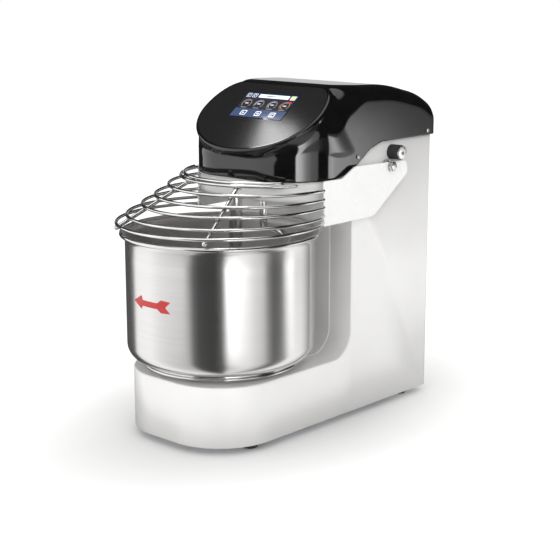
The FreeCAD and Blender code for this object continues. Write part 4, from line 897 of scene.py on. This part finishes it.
def screen_picture():
    """Generic touch-screen picture: top bar, dials on dark, and a row of buttons. No lettering."""
    w, h = SCREEN_HALF_W - 2.2, SCREEN_HALF_H - 1.8
    art = Picture()
    bar_v, low_v = h - 11.5, -h + 16.5
    middle_v, dial_v, button_v = (bar_v + h) / 2, (bar_v + low_v) / 2, (-h + low_v) / 2
    art.area("ink_navy", -w, w, bar_v, h, 0)
    art.area("ink_dark", -w, w, low_v, bar_v, 0)
    art.area("ink_blue", -w, w, -h, low_v, 0)
    for u in (-w + 6, -w + 17):
        art.box("ink_pale", u, middle_v, 4.4, 4.15, 1, 1.4)
        art.box("ink_navy", u, middle_v, 3.3, 3.05, 2, 1.0)
        art.ring("ink_white", u, middle_v, 2.3, 0.8, 3, share=0.8)
    art.area("ink_white", -w + 25, w - 15, bar_v + 2.2, h - 2.2, 1, 1.2)
    art.box("ink_grey", 0, middle_v, 9, 0.9, 2, 0.4)
    art.box("ink_pale", w - 7.5, middle_v, 4.9, 4.35, 1, 1.4)
    art.box("ink_yellow", w - 7.5, middle_v, 3.1, 2.95, 2, 1.0)
    for number, u in enumerate((-35, -12, 13, 36)):
        art.ring("ink_grey", u, dial_v, 8.6, 1.4, 1, share=0.74, turn=radians(-43))
        needle = "ink_orange" if number in (0, 3) else "ink_pale"
        art.ring(needle, u, dial_v, 6.4, 0.9, 2, share=0.30 + 0.1 * number, turn=radians(60))
        art.area("ink_pale", u - 3.2, u + 3.2, dial_v - 1.0, dial_v + 1.2, 2, 0.4)
        art.box("ink_grey", u, dial_v - 8.5, 5.4, 0.9, 1, 0.5)
    art.area("ink_red", 37, 44, dial_v + 5.6, dial_v + 8.8, 3, 0.8)
    for u in (-27, 0, 27):
        art.box("ink_white", u, button_v, 5.2, 4.6, 1, 1.6)
        art.box("ink_navy", u, button_v, 3.8, 3.3, 2, 1.0)
    art.shape("ink_white", [(-29.2, button_v - 2.0), (-24.6, button_v), (-29.2, button_v + 2.0)], 3)
    art.box("ink_white", 0, button_v, 1.9, 1.6, 3, 0.4)
    art.ring("ink_white", 27, button_v, 2.2, 0.9, 3, share=0.85)
    art.finish()


# ---- guard ----
def at_arc(centre_y, radius, z, angle):
    return (radius * sin(angle), centre_y - radius * cos(angle), z)


def ring_shape(number):
    """Centre, radius, height and end angles of a guard ring, read from its CAD node."""
    ring = box_mm("guard_ring_%d" % number)
    left, right = FREE_ENDS.get(number, (None, None))
    radius = ring.x1 - WIRE_R
    if right is not None:
        radius /= sin(radians(right))
    centre_y = ring.y0 + WIRE_R + radius
    plate = acos((centre_y - ARM.y0) / radius)
    start = -plate if left is None else radians(left)
    end = plate if right is None else radians(right)
    return centre_y, radius, (ring.z0 + ring.z1) / 2, start, end


def guard_rings():
    for number in range(1, RING_COUNT + 1):
        centre_y, radius, z, start, end = ring_shape(number)
        points = [at_arc(centre_y, radius, z, a) for a in np.linspace(start, end, 121)]
        build = Build().rod(points, WIRE_R, round_ends=number in FREE_ENDS)
        build.piece("ring_%d" % number, "chrome_wire", "guard", ["guard_ring_%d" % number], sharp=60)


RIB_R = 2.8
RIB_TOP, RIB_FOOT = Vector((45.0, -10.6, 351.7)), Vector((84.3, -112.7, 294.7))   # where the rings cross it
CLIP_HALF_W, CLIP_TIP, CLIP_LENGTH, CLIP_SHEET = 6.3, 0.7, 11.0, 1.6


def guard_ribs():
    """Straight rod under the rings on each side, with a triangular clip on top and a bead at its foot."""
    along = (RIB_FOOT - RIB_TOP).normalized()
    across = Vector((cos(radians(30)), sin(radians(30)), 0))
    inward = along.cross(across).normalized()
    if inward.z > 0:
        inward = -inward
    side = along.cross(inward).normalized()
    offset = inward * (WIRE_R + RIB_R - 0.5)
    top, foot = RIB_TOP + offset - along * 3, RIB_FOOT + offset + along * 2
    apex = top - along * 2
    base = apex + along * CLIP_LENGTH
    clip = [apex + side * CLIP_TIP, base + side * CLIP_HALF_W,
            base - side * CLIP_HALF_W, apex - side * CLIP_TIP]
    for name, sign in (("right", 1), ("left", -1)):
        def mirror(points):
            return [(sign * p.x, p.y, p.z) for p in points]

        build = Build().rod(mirror([top.lerp(foot, share) for share in np.linspace(0, 1, 9)]), RIB_R, sides=24)
        build.rod(mirror([foot - along * 0.5, foot + along * 0.5]), RIB_R + 0.7, sides=24)
        build.piece("rib_" + name, "chrome_wire", "guard", ["guard_rib_" + name], sharp=60)
        sheet = Build().loft([mirror([c + inward * h for c in clip]) for h in (0.0, CLIP_SHEET)],
                             caps=(True, True))
        soften(sheet.piece("rib_clip_" + name, "chrome_wire", "guard"), 0.4)


def guard_arms():
    outline = rounded([(ARM.y0, ARM.z0, 2), (183.0, ARM.z0 + 0.5, 20), (ARM.y1, 344.5, 11), (256.5, 362.2, 8),
                       (142.0, ARM.z1, 17), (114.0, 350.8, 14), (ARM.y0, 351.5, 3)], 12)
    for name, sign in (("right", 1), ("left", -1)):
        build = Build().prism(outline, lambda y, z, x: (sign * x, y, z), ARM.x0, ARM.x1)
        # the plates take the lighter copy of the white paint, which paints light on them
        soften(build.piece("side_plate_" + name, "white_paint_lit", "guard", ["guard_arm_" + name],
                           slot="white_paint"), 0.7)


def ring_welds():
    """Small weld beads, a little flattened, where the rings meet the side plates' front edge."""
    profile = [(0.3, -2.6), (1.9, -2.3), (2.9, -1.2), (3.0, 0.2), (2.5, 1.6), (0.3, 1.8)]
    build = Build()
    for number in range(1, RING_COUNT + 1):
        centre_y, radius, z, *ends = ring_shape(number)
        for angle, free in zip(ends, FREE_ENDS.get(number, (None, None))):
            x, y, _ = at_arc(centre_y, radius, z, angle)
            if free is None and z > ARM.z0:
                build.loft([[(x * 0.995 + r * 0.9 * c, y + shift, z + r * s) for c, s in circle(18)]
                            for r, shift in profile], caps=(True, True))
    build.piece("ring_welds", "chrome_wire", "guard")


# ---- small parts on the sides ----
def socket_head(build, radius, x_under, x_face, centre, edge, socket_r, socket_depth):
    """Round screw head with a rounded rim and a hexagon socket."""
    y, z = centre
    steps = 48
    profile = [(radius, x_under), (radius, x_face - edge)]
    profile += [(radius - edge * c, x_face - edge * (1 - s)) for s, c in quarter(5)[1:]]
    profile += [(socket_r * 1.25, x_face), (socket_r * 1.1, x_face - 0.25)]
    rings = [[(x, y + r * c, z + r * s) for c, s in circle(steps)] for r, x in profile]
    within = [(2 * pi * k / steps) % (pi / 3) - pi / 6 for k in range(steps)]
    hexagon = [socket_r * cos(pi / 6) / cos(a) for a in within]
    rings += [[(x, y + r * c, z + r * s) for r, (c, s) in zip(hexagon, circle(steps))]
              for x in (x_face - 0.3, x_face - socket_depth)]
    build.loft(rings, caps=(True, True))


def buffers():
    y, z = (BUFFERS.y0 + BUFFERS.y1) / 2, (BUFFERS.z0 + BUFFERS.z1) / 2
    radius, face = (BUFFERS.y1 - BUFFERS.y0) / 2, BUFFERS.x1
    profile = [(radius, SHELL.x1), (radius, face - 0.9), (radius - 0.3, face - 0.25), (radius - 0.9, face)]
    build = Build().turned_x(profile, (y, z)).mirrored()
    build.piece("buffers", "black_rubber", "chassis", ["stop_buffers"], sharp=50)
    head = Build()
    socket_head(head, radius - 1.0, face - 0.5, box_mm("buffer_screws").x1, (y, z), 0.9, 2.4, 2.0)
    head.mirrored().piece("buffer_caps", "fastener_steel", "chassis", ["buffer_screws"])


PIVOT_HEX = 12.6         # across the bolt head's flats
WASHER_R = 8.0


def pivots():
    under = ARM.x1 + 0.3
    head_x = under + 1.0
    corner_r = PIVOT_HEX / sqrt(3)
    washer = [(WASHER_R, under), (WASHER_R, head_x - 0.3), (WASHER_R - 0.3, head_x), (WASHER_R - 1.6, head_x)]
    build = Build().turned_x(washer, (HINGE_Y, HINGE_Z))
    head = [(corner_r, head_x), (corner_r, BOLTS.x1 - 1.1), (corner_r * 0.93, BOLTS.x1 - 0.25),
            (corner_r * 0.80, BOLTS.x1)]
    build.turned_x(head, (HINGE_Y, HINGE_Z), steps=6)
    obj = build.mirrored().piece("pivot_heads", "fastener_steel", "chassis", ["pivot_bolts"], sharp=30)
    soften(obj, 0.25, segments=2)


def cover_screws():
    screws = box_mm("cover_screws")
    radius = 3.0
    head = Build()
    for spot in ((screws.y1 - radius, screws.z1 - radius), (screws.y0 + radius, screws.z0 + radius)):
        socket_head(head, radius, COVER.x1 - 0.4, screws.x1, spot, 0.8, 1.2, 0.9)
    head.mirrored().piece("cover_screw_heads", "fastener_steel", "chassis", ["cover_screws"])


for make in (body_shell, deck_strip, feet, bowl, turntable, arrow, breaker, spiral, pan, cover, fascia, screen,
             screen_picture, guard_rings, guard_ribs, guard_arms, ring_welds, buffers, pivots, cover_screws):
    make()


# ---- floor, light and camera ----
FLOOR_R = 6.0            # metres
FLOOR_GREY = 0.84


def floor():
    """Large pale disc that the metal doesn't mirror; its faint glow grows with distance from the machine, which
    paints a soft shadow round the machine's foot.
    """
    mesh = bpy.data.meshes.new("floor")
    mesh.from_pydata([(FLOOR_R * c, FLOOR_R * s, 0) for c, s in circle(96)], [], [list(range(96))])
    obj = in_scene("floor", mesh)
    shade = Shade("floor", (FLOOR_GREY,) * 3, 0.9, Specular_IOR_Level=0.0, Emission_Color=(1, 1, 1, 1))
    # painted shadow: the glow grows with distance from the machine, so the floor close to it stays darker
    painted_shadow_distance = shade.vector("LENGTH", shade.stretched((1 / CAD_HIGH[0], 1 / CAD_HIGH[1], 0.0)))["Value"]
    shade.feed(shade.bsdf, "Emission Strength", shade.between(shade.calc("MULTIPLY", painted_shadow_distance, 0.35), 0.0, 0.42))
    shade.tint(shade.noise(4, 3), (FLOOR_GREY - 0.005,) * 3, (FLOOR_GREY + 0.005,) * 3)
    mesh.materials.append(MATERIALS["floor"])
    obj.visible_glossy = False


PEAK = 10.0              # brightest panel
FRONT_PANEL = [(-90, 0.03), (-88, 1.5), (2, 1.5), (5, 0.02), (49, 0.02)]
SIDE_PANEL = [(72, 3.4), (84, 1.7), (98, 1.3), (100, 0.02), (124, 0.02)]
# the room's bright and dark panels as the metal and the gloss black see them: between which heights of
# the view direction each band takes over from the one below, and its stops of azimuth and brightness
PANELS = [
    (None, [(-180, 0.30), (-165, 0.08), (-86, 0.10), (-78, 1.20), (-50, 1.26), (-32, 0.96), (-17, 0.82),
            (6, 0.64), (11, 0.19), (18, 0.09), (38, 0.058), (49, 0.13), (55, 0.84), (66, 1.00), (78, 1.03),
            (90, 0.82), (98, 0.67), (104, 0.37), (111, 0.16), (119, 0.22), (128, 0.42), (135, 1.1),
            (140, 1.24), (158, 1.14), (170, 0.75), (180, 0.30)]),
    ((-0.19, -0.15), [(-180, 0.03)] + FRONT_PANEL + [(51, 10.0), (60, 8.0)] + SIDE_PANEL + [
        (127, 4.6), (139, 4.6), (143, 0.7), (160, 0.5), (170, 0.03), (180, 0.03)]),
    ((-0.13, -0.08), [(-180, 0.03)] + FRONT_PANEL + [(51, 8.0), (60, 6.0)] + SIDE_PANEL + [
        (127, 0.4), (170, 0.3), (172, 0.03), (180, 0.03)]),
    ((-0.04, -0.02), [(-180, 0.70), (-118, 0.70), (-114, 0.05)] + FRONT_PANEL + [(180, 0.02)]),
    ((0.09, 0.11), [(-180, 0.03)] + FRONT_PANEL + [(180, 0.02)]),
    ((0.22, 0.26), [(-180, 0.02), (-75, 0.05), (-60, 1.2), (46, 1.2), (50, 0.02), (180, 0.02)]),
    ((0.85, 0.92), [(-180, 1.4), (180, 1.4)]),
]
ROOM_LIGHT = ((1.0, 0.998, 0.992, 1), 0.86)


def studio_world():
    """Plain white room for camera and diffuse light, and a ring of tall panels for the reflections."""
    sky = bpy.data.worlds.new("studio")
    bpy.context.scene.world = sky
    sky.use_nodes = True
    sky.node_tree.nodes.clear()
    w = Nodes(sky.node_tree)
    direction = w.node("SeparateXYZ", {0: w.node("TexCoord").outputs["Generated"]}).outputs
    round_the_room = w.calc("ARCTAN2", direction["X"], w.calc("MULTIPLY", direction["Y"], -1.0))
    turn = w.calc("ADD", w.calc("DIVIDE", round_the_room, 2 * pi), 0.5)

    def panels(stops):
        """Brightness round the room, from stops of azimuth in degrees and value."""
        ramp = w.node("ValToRGB", {"Fac": turn})
        elements = ramp.color_ramp.elements
        while len(elements) > 1:
            elements.remove(elements[-1])
        for number, (degrees, value) in enumerate(stops):
            place = (degrees + 180) / 360
            element = elements[0] if number == 0 else elements.new(place)
            element.position = place
            element.color = (value / PEAK, value / PEAK, value / PEAK, 1)
        return ramp.outputs["Color"]

    def background(color, strength):
        return w.node("Background", {"Color": color, "Strength": strength}).outputs[0]

    def choose(kind_of_ray, otherwise, then):
        return w.node("MixShader", {"Fac": path[kind_of_ray], 1: otherwise, 2: then}).outputs[0]

    seen = panels(PANELS[0][1])
    for (low, high), stops in PANELS[1:]:
        rise = w.node("MapRange", {"Value": direction["Z"], "From Min": low, "From Max": high},
                      interpolation_type="SMOOTHSTEP")
        seen = w.blend(rise.outputs["Result"], seen, panels(stops))
    path = w.node("LightPath").outputs
    lit = choose("Is Glossy Ray", background(*ROOM_LIGHT), background(seen, PEAK))
    w.node("OutputWorld", {"Surface": choose("Is Camera Ray", lit, background((1, 1, 1, 1), 1.0))})


# place, aim, size and watts of each lamp, in metres; only the panel's glow is there to be mirrored
LAMPS = {
    "key": ((1.8, -1.0, 1.9), (0, 0, 0.25), (1.4, 1.4), 4.5),
    "front": ((0.6, -2.3, 0.55), (0, 0, 0.15), (1.2, 0.9), 10.5),
    "panel_glow": ((-0.022, -0.058, 0.506), (0.078, -0.072, 0.398), (0.07, 0.055), 0.13),
}
CAMERA_PLACE = (1.2789, -1.3831, 0.6260)
CAMERA_PITCH, CAMERA_YAW, CAMERA_LENS = -12.909, 42.301, 86.843


def soft_box(name, place, aim, size, power):
    light = bpy.data.lights.new(name, "AREA")
    light.shape = "RECTANGLE"
    light.size, light.size_y = size
    light.energy = power
    lamp = in_scene(name, light)
    lamp.location = place
    lamp.rotation_euler = (Vector(aim) - Vector(place)).to_track_quat("-Z", "Y").to_euler()
    lamp.visible_camera = False
    lamp.visible_glossy = name == "panel_glow"
    lamp.visible_diffuse = not lamp.visible_glossy


def camera():
    """Three-quarter view from the front right, slightly above."""
    lens = bpy.data.cameras.new("camera")
    lens.lens, lens.sensor_width = CAMERA_LENS, 36.0
    lens.clip_start, lens.clip_end = 0.05, 60.0
    obj = in_scene("camera", lens)
    obj.location = CAMERA_PLACE
    obj.rotation_euler = (radians(90 + CAMERA_PITCH), 0.0, radians(CAMERA_YAW))
    bpy.context.scene.camera = obj


floor()
studio_world()
for lamp_name, lamp in LAMPS.items():
    soft_box(lamp_name, *lamp)
camera()
bpy.context.scene.view_settings.view_transform = "Standard"
